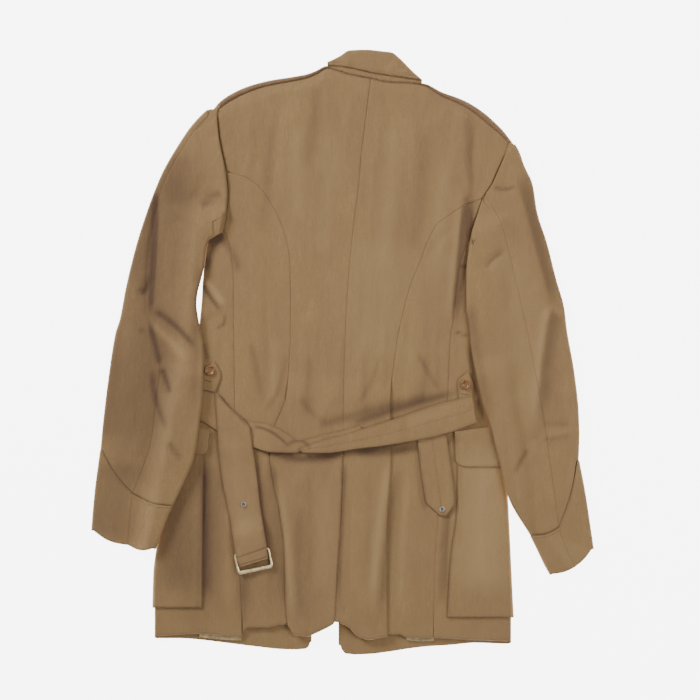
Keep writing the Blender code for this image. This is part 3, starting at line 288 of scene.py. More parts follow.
# Folds that the sleeves carry in their upper wall
SLEEVE_FOLDS = table(
    "x1 up1 x2 up2 x3 up3 reach height step",
    (-258, 258, -280, 130, -279, 30, 42, -2.4, -1),
    (-275, 62, -246, 36, -208, 2, 12, -2.4, 0),
    (-262, 84, -232, 58, -203, 30, 14, 1.4, 0),
    (-240, -60, -246, -110, -232, -180, 14, 1.4, 0),
    (306, 64, 290, 0, 270, -136, 14, 1.8, 0),
    (234, 146, 218, 136, 204, 116, 8, -1.6, 0),
    (286, -104, 310, -107, 338, -106, 7, -1.2, 0),
    (300, 230, 300, 120, 318, -40, 14, -1.0, 0))

# Collar: sections from its left end to its right end
COLLAR = table(
    "x crest fall neck",
    (-22, 420, 414.6, 411.4), (-12, 424.6, 414.2, 408.6), (-2, 430, 413.4, 405.8),
    (10, 437, 411.6, 402.2), (34, 438, 406, 397.4), (55, 436, 402, 393.1), (71, 434, 399.6, 390.5),
    (81, 427, 398.4, 390.1), (99, 409, 395.6, 389.4), (107, 401.5, 394.4, 388.6))
COLLAR_WALL = 1.8
STAND_UNDER_FALL = 7.0
STAND_LEVEL = COLLAR_WALL + LAY_GAP + COLLAR_WALL

# Shoulder straps that show as a rim beyond the shoulder seam
STRAP_LEFT = table(
    "x rim",
    (-185, 4.2), (-172, 7.6), (-153, 8.2), (-133, 8.0), (-111, 7.4), (-86, 6.6), (-59, 6.0),
    (-44, 5.0), (-30, 4.0))
STRAP_RIGHT = table(
    "x rim",
    (126, 4.0), (142, 5.6), (160, 7.2), (180, 8.2), (201, 9.0), (224, 7.6), (239, 4.6))
STRAP_LEVEL = 6.2
STRAP_TUCK = ((3.0, 2.3), (1.5, 2.5), (0.3, 2.9))
STRAP_ROUND = ((0.08, 0.82), (0.2, 0.96), (0.4, 1.0), (0.6, 1.0), (0.78, 0.9), (0.9, 0.72),
               (0.98, 0.42), (1.0, 0.12))
SLOPE_SPAN = 12.0
FOLD_STRETCHES = 8

# Belt stretches: rows from one end to the other, both edges, and lift over what it crosses
BELT_LEFT = table(
    "ax aup bx bup lift",
    (-152, -90, -149, -134, 0), (-137, -97.5, -130, -138, 0), (-104, -104.5, -104, -145, 0),
    (-79, -117.6, -72, -146, 0), (-63, -127.7, -54.6, -142.2, 0), (-30, -119, -25, -134, 0),
    (0.6, -111.8, 5, -126, 0), (25, -105, 28, -115, 0))
BELT_RIGHT = table(
    "ax aup bx bup lift",
    (-63, -138.6, -57, -145.5, 1), (-34, -127.7, -25.5, -146, 1), (0.6, -119, 25, -139.3, 1),
    (25, -111.8, 47, -137, 1), (76, -96, 90.5, -130.6, 1), (126.7, -78.4, 137, -121.5, 1),
    (158.6, -69.7, 167.3, -112.5, 1), (187, -62, 193.3, -102.8, 1))
BELT_TIP = table(
    "ax aup bx bup lift",
    (146.5, -98.7, 105, -110.3, 0), (150, -119.7, 108, -130.6, 0), (155.7, -155, 113.7, -175.6, 0),
    (160.6, -193, 118, -206, 0), (162.8, -216, 120.6, -217.6, 0), (157.5, -227, 130, -227, 0),
    (150, -237.4, 140.5, -236.6, 0))
BELT_BUCKLE_END = table(
    "ax aup bx bup lift",
    (-178, -60.5, -183.6, -59.5, 1), (-164.8, -77, -182.9, -77, 1), (-140, -98.7, -181.6, -98.7, 1),
    (-132.9, -111.8, -180.3, -117.6, 1), (-130.5, -132, -178.5, -139.3, 1),
    (-124.4, -172, -175, -178, 0.15), (-117.8, -228.5, -162.6, -241.7, 0.15),
    (-112.7, -258, -157.5, -271, 1.7), (-108.6, -282.4, -153.4, -295.9, 1.85),
    (-106.8, -297.4, -148.2, -310.4, 1.85))
BELT_SIDE = table(
    "ax aup bx bup lift",
    (-221, -51, -222, -97, 0), (-201, -55.2, -206, -100, 0), (-183.6, -59.6, -180.7, -114.7, 0),
    (-176, -61.5, -174, -118, 0))

# Pointed tabs at the waist, from the tip down
TAB_LEFT = table(
    "ax aup bx bup lift",
    (-184.6, -13.5, -188.4, -13.5, 0), (-176, -33.5, -201, -30, 0), (-183.5, -58.6, -207, -53.2, 0))
TAB_RIGHT = table(
    "ax aup bx bup lift",
    (183, -29, 179, -29, 0), (189, -50, 165.5, -44, 0), (187, -67, 168, -71, 0))

# Bellows pockets on the fronts where they come round to the top, and their flaps
POCKET_LEFT = table(
    "up x", (-371, -202.4), (-290, -202), (-210, -201), (-137, -200))
POCKET_RIGHT = table(
    "up x", (-384, 150.5), (-289, 157), (-240, 164), (-210, 166), (-163, 165.5), (-137, 165.5))
FLAP_LEFT = table(
    "up x", (-148.6, -204), (-145, -196.5), (-139, -194), (-122, -192.6), (-113, -191.8))
FLAP_RIGHT = table(
    "up x", (-166, 176), (-163, 168), (-157, 163.4), (-135, 162.4), (-115, 161.8))
FLAP_SLOPE = 0.34
POCKET_TURN_UNDER = math.radians(20)

# Buttons, eyelets and buckle: place on the lay
BUTTON_LEFT = (-191.4, -27.0)
BUTTON_RIGHT = (177.2, -47.5)
EYELET_BUCKLE_END = (-143.0, -220.0, 0.3)
EYELET_TIP = (143.4, -227.0, 0.0)
BUCKLE_FOOT = (-125.6, -314.9)

# Strips of lining that show where the hem has come undone
LINING_LEFT = table("x top low", (-208, -380, -413.5), (-178, -380, -416.5), (-147, -380, -418.5))
LINING_RIGHT = table("x top low", (92, -385, -417.5), (112, -385, -419.5), (132, -385, -419))


# Lines and clearances that several pieces share
SHOULDER_END_LEFT = -182.0
SHOULDER_END_RIGHT = 243.0
NECK_MIDDLE = 41.0
NECK_POINT_LEFT = (-22.0, 410.0)
NECK_POINT_RIGHT = (117.0, 385.0)
THROAT_UP = 300.0
FRONT_BELOW_SHOULDER = 4.0
HIND_HEAD_RIGHT = 226
ARMHOLE_FOOT_LEFT = 177
ARMHOLE_FOOT_RIGHT = 162
SEAM_FOOT = -68
SEAM_HEAD_LEFT = 261
SEAM_HEAD_RIGHT = 222
STEP_FALL = 4.0
HUG_END = 0.85

# Smaller creases of the cloth that only the finished cloth shows
BODY_CREASES = table(
    "x1 up1 x2 up2 x3 up3 reach height step",
    (-90, 380, -96, 300, -104, 210, 7, -0.7, 0),
    (-40, 392, -36, 330, -44, 240, 7, -0.6, 0),
    (14, 380, 6, 320, 4, 250, 6, 0.6, 0),
    (60, 385, 66, 320, 58, 230, 8, -0.7, 0),
    (96, 370, 104, 310, 100, 250, 6, 0.6, 0),
    (160, 360, 152, 300, 146, 240, 8, -0.8, 0),
    (196, 330, 186, 290, 180, 250, 6, -0.7, 0),
    (-140, 340, -132, 300, -136, 262, 6, 0.7, 0),
    (-164, 320, -150, 290, -120, 262, 6, -0.6, 0),
    (-60, 60, -52, 0, -58, -70, 6, 0.7, 0),
    (-34, 40, -30, -20, -26, -90, 6, -0.6, 0),
    (20, 60, 18, -10, 24, -90, 6, -0.6, 0),
    (62, 40, 58, -30, 62, -80, 5, 0.6, 0),
    (-110, 80, -108, 20, -104, -60, 6, -0.6, 0),
    (-142, 60, -136, -10, -140, -80, 5, 0.6, 0),
    (98, 60, 96, 0, 100, -60, 6, -0.6, 0),
    (140, 60, 134, 0, 136, -60, 5, 0.6, 0),
    (-46, -160, -44, -260, -48, -400, 7, -0.8, 0),
    (-84, -170, -78, -280, -76, -390, 6, 0.6, 0),
    (8, -160, 12, -270, 4, -390, 6, -0.7, 0),
    (44, -160, 42, -280, 44, -405, 7, -0.8, 0),
    (-134, -150, -130, -270, -132, -400, 6, -0.7, 0),
    (92, -160, 84, -290, 84, -400, 6, -0.8, 0),
    (124, -250, 120, -320, 122, -400, 6, 0.6, 0),
    (-168, 100, -164, 20, -170, -80, 6, 0.6, 0),
    (168, 120, 166, 50, 170, -30, 6, -0.6, 0),
    (-150, 200, -120, 180, -92, 150, 7, -0.7, 0),
    (-140, 170, -120, 140, -104, 100, 7, 0.6, 0),
    (164, 180, 140, 160, 118, 130, 7, -0.7, 0),
    (-230, -180, -226, -270, -232, -390, 7, 0.5, 0),
    (208, -180, 204, -280, 210, -390, 7, 0.5, 0))
SLEEVE_CREASES = table(
    "x1 up1 x2 up2 x3 up3 reach height step",
    (-201, 241, -196, 250, -178, 238, 5, -1.1, 0),
    (-201, 241, -206, 232, -224, 214, 5, -1.1, 0),
    (-201, 241, -202, 248, -205, 252, 4, -1.0, 0),
    (-200, 318, -196, 300, -200, 288, 5, -1.0, 0),
    (-184, 322, -186, 312, -192, 307, 4, -0.9, 0),
    (-192, 276, -198, 272, -204, 275, 5, -0.8, 0),
    (-173, 230, -190, 222, -207, 208, 6, -1.2, 0),
    (-242, 198, -232, 186, -214, 187, 6, -1.1, 0),
    (-232, 190, -216, 184, -200, 189, 5, 0.8, 0),
    (-275, 110, -284, 92, -290, 82, 5, -1.1, 0),
    (-298, 88, -290, 85, -285, 88, 3, -0.8, 0),
    (-296, 29, -288, 30, -284, 28, 3, -0.8, 0),
    (-262, -22, -254, -42, -247, -62, 6, -1.1, 0),
    (-274, -19, -266, -60, -254, -112, 6, 0.9, 0),
    (-250, -128, -240, -140, -229, -156, 6, -1.0, 0),
    (-300, -150, -288, -120, -280, -60, 8, 0.8, 0),
    (-320, -60, -322, 0, -312, 60, 9, -0.7, 0),
    (-305, 60, -300, 120, -288, 180, 9, 0.7, 0),
    (-252, 180, -248, 130, -252, 90, 7, 0.8, 0),
    (-226, 160, -222, 130, -226, 100, 7, -0.8, 0),
    (-222, -20, -224, -60, -230, -110, 7, 0.9, 0),
    (218, 241, 234, 235, 252, 238, 5, -1.1, 0),
    (205, 118, 218, 134, 234, 145, 5, -1.1, 0),
    (306, 62, 292, 30, 290, -24, 6, 1.4, 0),
    (290, -24, 284, -80, 278, -120, 6, 1.2, 0),
    (278, -120, 266, -140, 246, -176, 6, -1.1, 0),
    (287, -126, 310, -122, 334, -119, 5, 0.9, 0),
    (262, 200, 258, 160, 262, 110, 8, -0.8, 0),
    (300, 180, 296, 120, 306, 60, 8, 0.8, 0),
    (240, 60, 246, 10, 258, -40, 8, 0.8, 0),
    (216, 40, 226, -20, 244, -90, 7, -0.8, 0),
    (318, -20, 320, -70, 322, -120, 7, -0.7, 0),
    (296, -150, 306, -190, 314, -230, 7, 0.7, 0))

# Photo points to millimetres: the scale, and where the first point of each way lies
PHOTO_SCALE = 1.45
PHOTO_LEFT = -496.8
PHOTO_TOP = 510.3

# How far the painted shade and highlight are carried past the listed amounts, on fine creases, folds and
# broad tones
FINE_REACH = 3
BROAD_REACH = 30
FINE_GAIN = 1.9
FOLD_GAIN = 1.7
FINE_WIDTH = 0.9


def tones(*rows):
    """Lines of painted shade (above 0), or of painted highlight and the worn pale strap ends (below 0), each
    given on the photograph.

    A row has three points of the photograph, across and down, how far the tone reaches to
    each side in millimetres, how strong it is, and the side on which it ends sharply.
    """
    made = []
    for x1, down1, x2, down2, x3, down3, reach, amount, step in rows:
        fine = reach <= FINE_REACH
        gain = 1.0 if reach >= BROAD_REACH else (FINE_GAIN if fine else FOLD_GAIN)
        line = {"reach": reach * (FINE_WIDTH if fine else 1), "height": gain * amount, "step": step}
        for place, x, down in (("1", x1, down1), ("2", x2, down2), ("3", x3, down3)):
            line["x" + place] = PHOTO_SCALE * x + PHOTO_LEFT
            line["up" + place] = PHOTO_TOP - PHOTO_SCALE * down
        made.append(line)
    return made


# Painted shade (above 0) and painted highlight (below 0) along the folds and creases of the body, its skirt
# and its pockets, and in broad bands over it
BODY_PAINTED_SHADE_AND_HIGHLIGHT = tones(
    (466, 188, 459, 250, 452, 332, 13, 0.5, -1),
    (464, 108, 467, 145, 467, 192, 8, 0.18, -1),
    (461, 190, 455, 245, 447, 330, 5, -0.25, 0),
    (160, 440, 172, 520, 180, 605, 30, 0.5, 0),
    (215, 450, 235, 540, 250, 620, 40, 0.25, 0),
    (480, 430, 485, 520, 480, 600, 35, -0.3, 0),
    (226, 236, 212, 250, 204, 276, 7, 0.4, 0),
    (222, 240, 232, 252, 240, 275, 6, 0.25, 0),
    (262, 446, 300, 458, 350, 452, 6, 0.5, 0),
    (350, 452, 400, 450, 470, 436, 6, 0.4, 0),
    (310, 428, 370, 410, 440, 392, 7, 0.3, 0),
    (455, 332, 461, 334, 468, 335, 2, 0.45, 0),
    (468, 338, 474, 380, 486, 430, 3.5, 0.5, 0),
    (472, 200, 470, 260, 468, 330, 3, 0.4, 0),
    (459, 267, 463, 266, 468, 267, 1.8, 0.3, 0),
    (202, 281, 210, 296, 222, 311, 3, 0.5, 0),
    (206, 278, 215, 292, 226, 306, 4, -0.5, 0),
    (224, 312, 224, 324, 214, 327, 2.5, 0.35, 0),
    (204, 343, 206, 352, 209, 362, 3, 0.35, 0),
    (206, 244, 215, 237, 226, 232, 8, 0.6, 0),
    (208, 255, 206, 275, 208, 300, 8, 0.3, 0),
    (300, 453, 385, 445, 462, 420, 5, 0.5, 0),
    (247, 444, 275, 451, 297, 453, 5, 0.4, 0),
    (345, 426, 400, 408, 466, 389, 6, 0.42, 0),
    (462, 372, 464, 392, 470, 396, 4, 0.3, 0),
    (256, 440, 262, 510, 270, 560, 5, 0.35, 0),
    (270, 455, 281, 520, 287, 625, 9, 0.35, 1),
    (274, 470, 286, 540, 292, 620, 7, -0.3, 0),
    (300, 500, 298, 560, 300, 625, 8, 0.18, 0),
    (325, 470, 322, 540, 318, 600, 10, -0.15, 0),
    (345, 455, 342, 520, 337, 615, 4, 0.35, -1),
    (390, 455, 380, 520, 370, 620, 7, -0.3, 0),
    (398, 460, 388, 530, 380, 630, 7, 0.22, 0),
    (408, 470, 402, 540, 398, 620, 6, -0.18, 0),
    (452, 470, 447, 530, 443, 612, 8, 0.38, 1),
    (441, 440, 449, 490, 452, 515, 5, 0.25, -1),
    (416, 440, 420, 490, 428, 510, 4, 0.2, 1),
    (204, 450, 205, 530, 206, 610, 9, 0.42, -1),
    (232, 470, 228, 540, 230, 620, 8, -0.22, 0),
    (246, 560, 244, 590, 243, 632, 7, 0.2, 0),
    (262, 470, 270, 530, 272, 600, 9, 0.12, 0),
    (272, 120, 268, 180, 262, 240, 8, 0.12, 0),
    (318, 85, 314, 120, 300, 180, 9, 0.12, 0),
    (298, 120, 296, 170, 300, 230, 9, -0.16, 0),
    (330, 110, 326, 200, 322, 260, 10, -0.14, 0),
    (345, 300, 343, 360, 340, 430, 5, 0.10, 0),
    (395, 110, 390, 200, 380, 280, 12, -0.12, 0),
    (425, 130, 420, 200, 412, 260, 9, 0.1, 0),
    (445, 150, 440, 220, 432, 300, 9, -0.14, 0),
    (250, 340, 256, 365, 262, 400, 5, 0.2, 0),
    (285, 350, 280, 385, 262, 415, 4, 0.16, 0),
    (300, 395, 310, 410, 330, 425, 5, 0.2, 0),
    (380, 350, 372, 380, 352, 410, 5, 0.16, 0),
    (415, 350, 428, 372, 440, 392, 4, 0.2, 0),
    (275, 330, 274, 370, 270, 405, 6, -0.16, 0),
    (310, 350, 308, 380, 306, 425, 6, 0.12, 0),
    (322, 350, 320, 390, 318, 430, 6, -0.12, 0),
    (365, 340, 364, 380, 366, 420, 6, 0.12, 0),
    (425, 350, 424, 380, 420, 405, 6, 0.12, 0),
    (410, 340, 408, 370, 404, 410, 6, -0.12, 0),
    (200, 430, 205, 540, 200, 650, 45, 0.2, 0),
    (235, 100, 232, 160, 245, 240, 40, 0.14, 0),
    (290, 430, 300, 520, 310, 640, 20, 0.05, 0),
    (385, 230, 378, 300, 372, 380, 55, -0.28, 0),
    (480, 440, 480, 520, 478, 600, 40, -0.3, 0))
# Painted shade and painted highlight along the sleeves and cuffs
SLEEVE_PAINTED_SHADE_AND_HIGHLIGHT = tones(
    (156, 190, 155, 240, 151, 320, 3.2, 0.6, 0),
    (156, 190, 155, 240, 151, 320, 14, 0.22, 1),
    (150, 320, 156, 345, 161, 366, 4, 0.4, 0),
    (153, 310, 175, 325, 198, 350, 4, 0.45, 0),
    (150, 322, 170, 340, 190, 362, 6, -0.3, 0),
    (153, 276, 148, 287, 142, 297, 3, 0.4, 0),
    (137, 292, 141, 291, 146, 292, 2, 0.3, 0),
    (138, 332, 142, 331, 147, 332, 2, 0.3, 0),
    (162, 367, 167, 380, 172, 395, 4, 0.4, 0),
    (153, 365, 157, 400, 170, 430, 4, 0.3, 0),
    (223, 193, 212, 199, 200, 209, 5, 0.3, 0),
    (170, 440, 176, 450, 185, 460, 4, 0.3, 0),
    (110, 340, 105, 400, 100, 440, 25, 0.14, 0),
    (170, 110, 140, 200, 122, 300, 22, 0.14, 0),
    (180, 150, 178, 180, 182, 210, 20, 0.14, 0),
    (200, 250, 197, 330, 196, 420, 8, 0.2, 0),
    (553.5, 309, 545, 340, 536, 430, 16, 0.42, -1),
    (548, 300, 540, 350, 530, 430, 8, -0.25, 0),
    (529, 446, 520, 460, 512, 473, 4, 0.3, 0),
    (493, 186, 502, 190, 516, 187, 3, 0.3, 0),
    (504, 252, 493, 259, 484, 270, 3, 0.25, 0),
    (540, 425, 556, 424, 572, 425, 2.5, 0.22, 0),
    (540, 439, 556, 437, 572, 434, 2.5, 0.22, 0),
    (520, 160, 535, 230, 560, 330, 10, 0.12, 0),
    (185, 130, 150, 300, 125, 500, 55, 0.44, 0),
    (118, 455, 112, 500, 104, 545, 45, 0.4, 0),
    (165, 300, 155, 400, 140, 500, 30, 0.2, 0),
    (515, 170, 535, 240, 553, 309, 16, 0.25, -1),
    (500, 240, 520, 320, 530, 440, 30, -0.22, 0),
    (575, 540, 570, 550, 560, 560, 40, -0.2, 0),
    (470, 300, 476, 350, 490, 430, 9, 0.22, 0))
# Painted shade and painted highlight along the belt
BELT_PAINTED_SHADE_AND_HIGHLIGHT = tones(
    (285, 447, 300, 440, 312, 450, 3, 0.3, 0),
    (252, 427, 271, 431, 291, 448, 2.5, 0.4, 0),
    (216, 391, 232, 408, 251, 427, 3, 0.35, 0),
    (235, 430, 238, 480, 250, 550, 12, -0.15, 0),
    (455, 405, 430, 415, 400, 425, 9, -0.15, 0))
# Worn ends of the shoulder straps
STRAP_TONES = tones(
    (220, 106, 216, 110, 212, 114, 6, -0.8, 0),
    (509, 137, 512, 141, 516, 146, 6, -0.5, 0))


def line_of(rows, key, value):
    """A smooth line through two columns of a table, straight past its ends."""
    ordered = sorted(rows, key=lambda row: row[key])
    xs = np.array([row[key] for row in ordered], float)
    ys = np.array([row[value] for row in ordered], float)
    steps = np.diff(ys) / np.diff(xs)
    slopes = np.concatenate([steps[:1], np.zeros(len(xs) - 2), steps[-1:]])
    for i in range(1, len(xs) - 1):
        before, after = steps[i - 1], steps[i]
        if before * after > 0:
            slopes[i] = 2 * before * after / (before + after)

    def at(x):
        x = np.asarray(x, float)
        i = np.clip(np.searchsorted(xs, x) - 1, 0, len(xs) - 2)
        span = xs[i + 1] - xs[i]
        t = (x - xs[i]) / span
        held = np.clip(t, 0, 1)
        y = ys[i] + (ys[i + 1] - ys[i]) * held * held * (3 - 2 * held)
        y = y + held * (1 - held) ** 2 * slopes[i] * span
        y = y + held * held * (held - 1) * slopes[i + 1] * span
        past = (t - held) * span
        return y + past * np.where(past < 0, slopes[0], slopes[-1])

    return at


def along(rows, column):
    """A smooth line through one column, read by the share t of the way down the table."""
    numbered = [{"row": i, column: row[column]} for i, row in enumerate(rows)]
    read = line_of(numbered, "row", column)
    last = len(rows) - 1
    return lambda t: read(np.asarray(t) * last)


def ramp(value, start, end):
    """0 at start, 1 at end, with soft ends."""
    t = np.clip((np.asarray(value, float) - start) / (end - start), 0, 1)
    return t * t * (3 - 2 * t)


side_left = line_of(SIDE_FOLD_LEFT, "up", "x")
side_right = line_of(SIDE_FOLD_RIGHT, "up", "x")
seam_left = line_of(SIDE_SEAM_LEFT, "up", "x")
seam_right = line_of(SIDE_SEAM_RIGHT, "up", "x")
armhole_left = line_of(ARMHOLE_LEFT, "up", "x")
armhole_right = line_of(ARMHOLE_RIGHT, "up", "x")
back_seam_left = line_of(BACK_SEAM_LEFT, "up", "x")
back_seam_right = line_of(BACK_SEAM_RIGHT, "up", "x")
skirt_left = line_of(SKIRT_FOLD_LEFT, "up", "x")
skirt_right = line_of(SKIRT_FOLD_RIGHT, "up", "x")
underlap_left = line_of(UNDERLAP_LEFT, "up", "x")
underlap_right = line_of(UNDERLAP_RIGHT, "up", "x")
centre_back = line_of(CENTRE_BACK, "up", "x")
top_line = line_of(TOP_LINE, "x", "up")
back_hem = line_of(BACK_HEM, "x", "up")
side_hem = line_of(SIDE_HEM, "x", "up")
front_hem = line_of(FRONT_HEM, "x", "up")
hind_right = line_of(HIND_RIGHT, "up", "x")


def back_edge_left(up):
    """Left edge of the back: armhole, then back seam, then skirt fold."""
    low = np.where(up >= SEAM_FOOT, back_seam_left(up), skirt_left(up))
    return np.where(up >= SEAM_HEAD_LEFT, armhole_left(up), low)


def back_edge_right(up):
    """Right edge of the back: armhole, then back seam, then skirt fold."""
    low = np.where(up >= SEAM_FOOT, back_seam_right(up), skirt_right(up))
    return np.where(up > SEAM_HEAD_RIGHT, armhole_right(up), low)


def side_back_left(up):
    """Outer and inner edge of the left side back."""
    outer = np.where(up >= ARMHOLE_FOOT_LEFT, armhole_left(up), seam_left(up))
    return outer, np.where(up >= SEAM_FOOT, back_seam_left(up), underlap_left(up))


def side_back_right(up):
    """Inner and outer edge of the right side back."""
    inner = np.where(up >= SEAM_FOOT, back_seam_right(up), underlap_right(up))
    return inner, np.where(up >= ARMHOLE_FOOT_RIGHT, armhole_right(up), seam_right(up))


def fold_points(fold):
    """Points on the curved line of one fold."""
    t = np.linspace(0, 1, FOLD_STRETCHES + 1)
    points = []
    for axis in ("x", "up"):
        first, middle, last = fold[axis + "1"], fold[axis + "2"], fold[axis + "3"]
        bend = 2 * middle - (first + last) / 2
        points.append((1 - t) ** 2 * first + 2 * t * (1 - t) * bend + t * t * last)
    return points


def fold_height(fold, x, up):
    """Height of one fold: soft across its line, fading at both ends, steep on a step's low side."""
    height = np.zeros(x.shape)
    px, pu = fold_points(fold)
    reach = 3 * fold["reach"]
    near = (x > px.min() - reach) & (x < px.max() + reach)
    near &= (up > pu.min() - reach) & (up < pu.max() + reach)
    if not near.any():
        return height
    x, up = x[near], up[near]
    best = np.full(x.shape, 1e9)
    side = np.zeros(x.shape)
    share = np.zeros(x.shape)
    for i in range(len(px) - 1):
        dx, dy = px[i + 1] - px[i], pu[i + 1] - pu[i]
        held = np.clip(((x - px[i]) * dx + (up - pu[i]) * dy) / (dx * dx + dy * dy), 0, 1)
        gap = np.hypot(x - px[i] - held * dx, up - pu[i] - held * dy)
        closer = gap < best
        best = np.where(closer, gap, best)
        side = np.where(closer, dx * (up - pu[i]) - dy * (x - px[i]), side)
        share = np.where(closer, (i + held) / (len(px) - 1), share)
    fade = ramp(share, 0, 0.2) * (1 - ramp(share, 0.8, 1))
    across = np.exp(-(best / fold["reach"]) ** 2)
    if fold["step"]:
        across = np.where(side * fold["step"] > 0, np.exp(-(best / STEP_FALL) ** 2), across)
    height[near] = fold["height"] * fade * across
    return height


def relief(folds, x, up):
    total = np.zeros(x.shape)
    for fold in folds:
        total += fold_height(fold, x, up)
    return total


def unrest(x, up, wide, tall, seed):
    """Slow uneven rise and fall of cloth that was laid down by hand, from -1 to 1."""
    flat = zip(np.ravel(x) / wide, np.ravel(up) / tall)
    values = [noise.noise(Vector((a, b, seed))) for a, b in flat]
    return np.array(values).reshape(x.shape)


def body_top(x, up):
    """Outer face of the top layer of the body."""
    x, up = np.broadcast_arrays(np.asarray(x, float), np.asarray(up, float))
    crown = BACK_CROWN * np.exp(-(x / CROWN_HALF_WIDTH) ** 2)
    near_top = ramp(top_line(x) - up, 0.0, 16.0)
    level = LEAST_LEVEL + (BACK_LEVEL + crown - LEAST_LEVEL) * near_top
    return np.maximum(LEAST_LEVEL, level + relief(BODY_FOLDS, x, up) * near_top)


def worn_top(x, up):
    """Outer face of the body with its smaller creases and unrest, for the finished cloth."""
    x, up = np.broadcast_arrays(np.asarray(x, float), np.asarray(up, float))
    inside = ramp(top_line(x) - up, 0.0, 20.0)
    fine = 1.5 * relief(BODY_CREASES, x, up)
    fine += UNREST * unrest(x, up, 17.0, 46.0, 1.7) + UNREST * 0.5 * unrest(x, up, 8.0, 15.0, 5.2)
    return body_top(x, up) + fine * inside


def skirt_lift(up):
    """How far the back lies above the side backs."""
    return SKIRT_LIFT * (1 - ramp(up, SEAM_FOOT, -30))


def cover_top(x, up):
    """What a piece that is laid on the back rests on."""
    over_left = ramp(x - back_edge_left(up), -28, -7)
    over_right = ramp(back_edge_right(up) - x, -28, -7)
    return body_top(x, up) + skirt_lift(up) * over_left * over_right


def floor_level(x, up):
    return np.zeros(np.broadcast(x, up).shape)


def hind_and_armhole_right(up):
    """Seam of the right top sleeve: the hind seam, and the armhole above it."""
    return np.where(up <= HIND_HEAD_RIGHT, hind_right(up), armhole_right(up) + 0.3)


def sleeve_floor(x, up):
    """Under side of a sleeve: on the table, or raised where it lies over the side."""
    x, up = np.broadcast_arrays(np.asarray(x, float), np.asarray(up, float))
    left = np.minimum(x - side_left(up), ARMHOLE_FOOT_LEFT - up)
    right = np.minimum(side_right(up) - x, ARMHOLE_FOOT_RIGHT - up)
    over = ramp(np.where(x < 0, left, right), -44, -9)
    pocket = SLEEVE_OVER_POCKET * (1 - ramp(up, -40, 0))
    return (body_top(x, up) + SLEEVE_OVER_SIDE + pocket) * over


def sleeve_top(x, up):
    x, up = np.broadcast_arrays(np.asarray(x, float), np.asarray(up, float))
    rise = np.maximum(LEAST_LEVEL, SLEEVE_RISE + relief(SLEEVE_FOLDS, x, up))
    rise = rise + 1.35 * relief(SLEEVE_CREASES, x, up)
    outer = np.where(x < 0, outer_left(up), outer_right(up))
    inner = np.where(x < 0, inner_left(up), inner_right(up))
    across = np.clip((x - outer) / (inner - outer), 0, 1)
    rise += SLEEVE_CROWN * np.sin(math.pi * across) ** 0.7
    rise += UNREST * 1.3 * unrest(x, up, 15.0, 34.0, 3.1) * ramp(np.sin(math.pi * across), 0, 0.3)
    return sleeve_floor(x, up) + rise


outer_left = line_of(OUTER_LEFT, "up", "x")
outer_right = line_of(OUTER_RIGHT, "up", "x")
inner_left = line_of(INNER_LEFT, "up", "x")
inner_right = line_of(INNER_RIGHT, "up", "x")


class Grid:
    """Points of one patch of cloth: rows from the lowest up, columns from left to right."""

    def __init__(self, x, up, level):
        shape = np.broadcast(x, up, level).shape
        self.x = np.array(np.broadcast_to(x, shape), float)
        self.up = np.array(np.broadcast_to(up, shape), float)
        self.level = np.array(np.broadcast_to(level, shape), float)
        # Seam and stitching marks, with painted shade along rolled edges; shell adds painted shade and
        # painted highlight along folds
        self.seam = np.zeros(shape)
        self.on_top = np.ones(shape)

    def edge_gap(self, edge):
        """Distance of each point from one edge of the patch, measured along its row or column."""
        axis = 1 if edge in ("left", "right") else 0
        steps = np.hypot(np.diff(self.x, axis=axis), np.diff(self.up, axis=axis))
        steps = np.hypot(steps, np.diff(self.level, axis=axis))
        start = np.zeros((self.x.shape[0], 1) if axis else (1, self.x.shape[1]))
        gap = np.concatenate([start, np.cumsum(steps, axis=axis)], axis=axis)
        if edge in ("right", "top"):
            total = gap[:, -1:] if axis else gap[-1:, :]
            gap = total - gap
        return gap

    def sew(self, edge, depth, width=1.7, pucker=0.25, mark=1.0, where=1.0):
        """Press a seam in along one edge, with the small puckers that its stitches pull."""
        gap = self.edge_gap(edge)
        run = self.up if edge in ("left", "right") else self.x
        pull = np.sin(run / 3.1 + 0.9 * np.sin(run / 11.0)) * np.sin(run / 37.0 + 1.3)
        self.level -= where * depth * np.exp(-(gap / width) ** 2)
        self.level -= where * pucker * pull * np.exp(-((gap - 3.5) / 3.5) ** 2)
        self.seam = np.maximum(self.seam, where * mark * np.exp(-(gap / (0.75 * width)) ** 2))
        return self

    def roll(self, edge, depth, width=2.0, mark=0.0, where=1.0):
        """Round a finished edge down, and darken it by mark: painted shade along the turned edge."""
        gap = self.edge_gap(edge)
        self.level -= where * depth * np.clip(1 - gap / width, 0, 1) ** 2
        if mark:
            self.seam = np.maximum(self.seam, where * mark * np.exp(-(gap / width) ** 2))
        return self

    def groove(self, edge, reach, depth=0.35, width=0.9, mark=0.35, where=1.0):
        """Press in the line of a row of topstitching at a distance from one edge."""
        gap = self.edge_gap(edge)
        line = where * np.exp(-((gap - reach) / width) ** 2)
        self.level -= depth * line
        self.seam = np.maximum(self.seam, mark * line)
        return self

    def path(self, edge, reach, keep=None, lift=0.1):
        """Stretches of points at a distance from one edge, just above the face, for its stitches."""
        gap = self.edge_gap(edge)
        parts = [self.x, self.up, self.level]
        if edge in ("bottom", "top"):
            gap, parts = gap.T, [part.T for part in parts]
        if edge in ("right", "top"):
            gap, parts = gap[:, ::-1], [part[:, ::-1] for part in parts]
        stretches, run = [], []
        for i in range(gap.shape[0]):
            point = [float(np.interp(reach, gap[i], part[i])) for part in parts]
            if keep is None or keep(point[0], point[1]):
                run.append((point[0], point[1], point[2] + lift))
            elif run:
                stretches.append(run)
                run = []
        stretches.append(run)
        return [stretch for stretch in stretches if len(stretch) > 2]

    def turned_round(self):
        """The same patch with its columns in the other order."""
        for name in ("x", "up", "level", "seam", "on_top"):
            setattr(self, name, getattr(self, name)[:, ::-1])
        return self


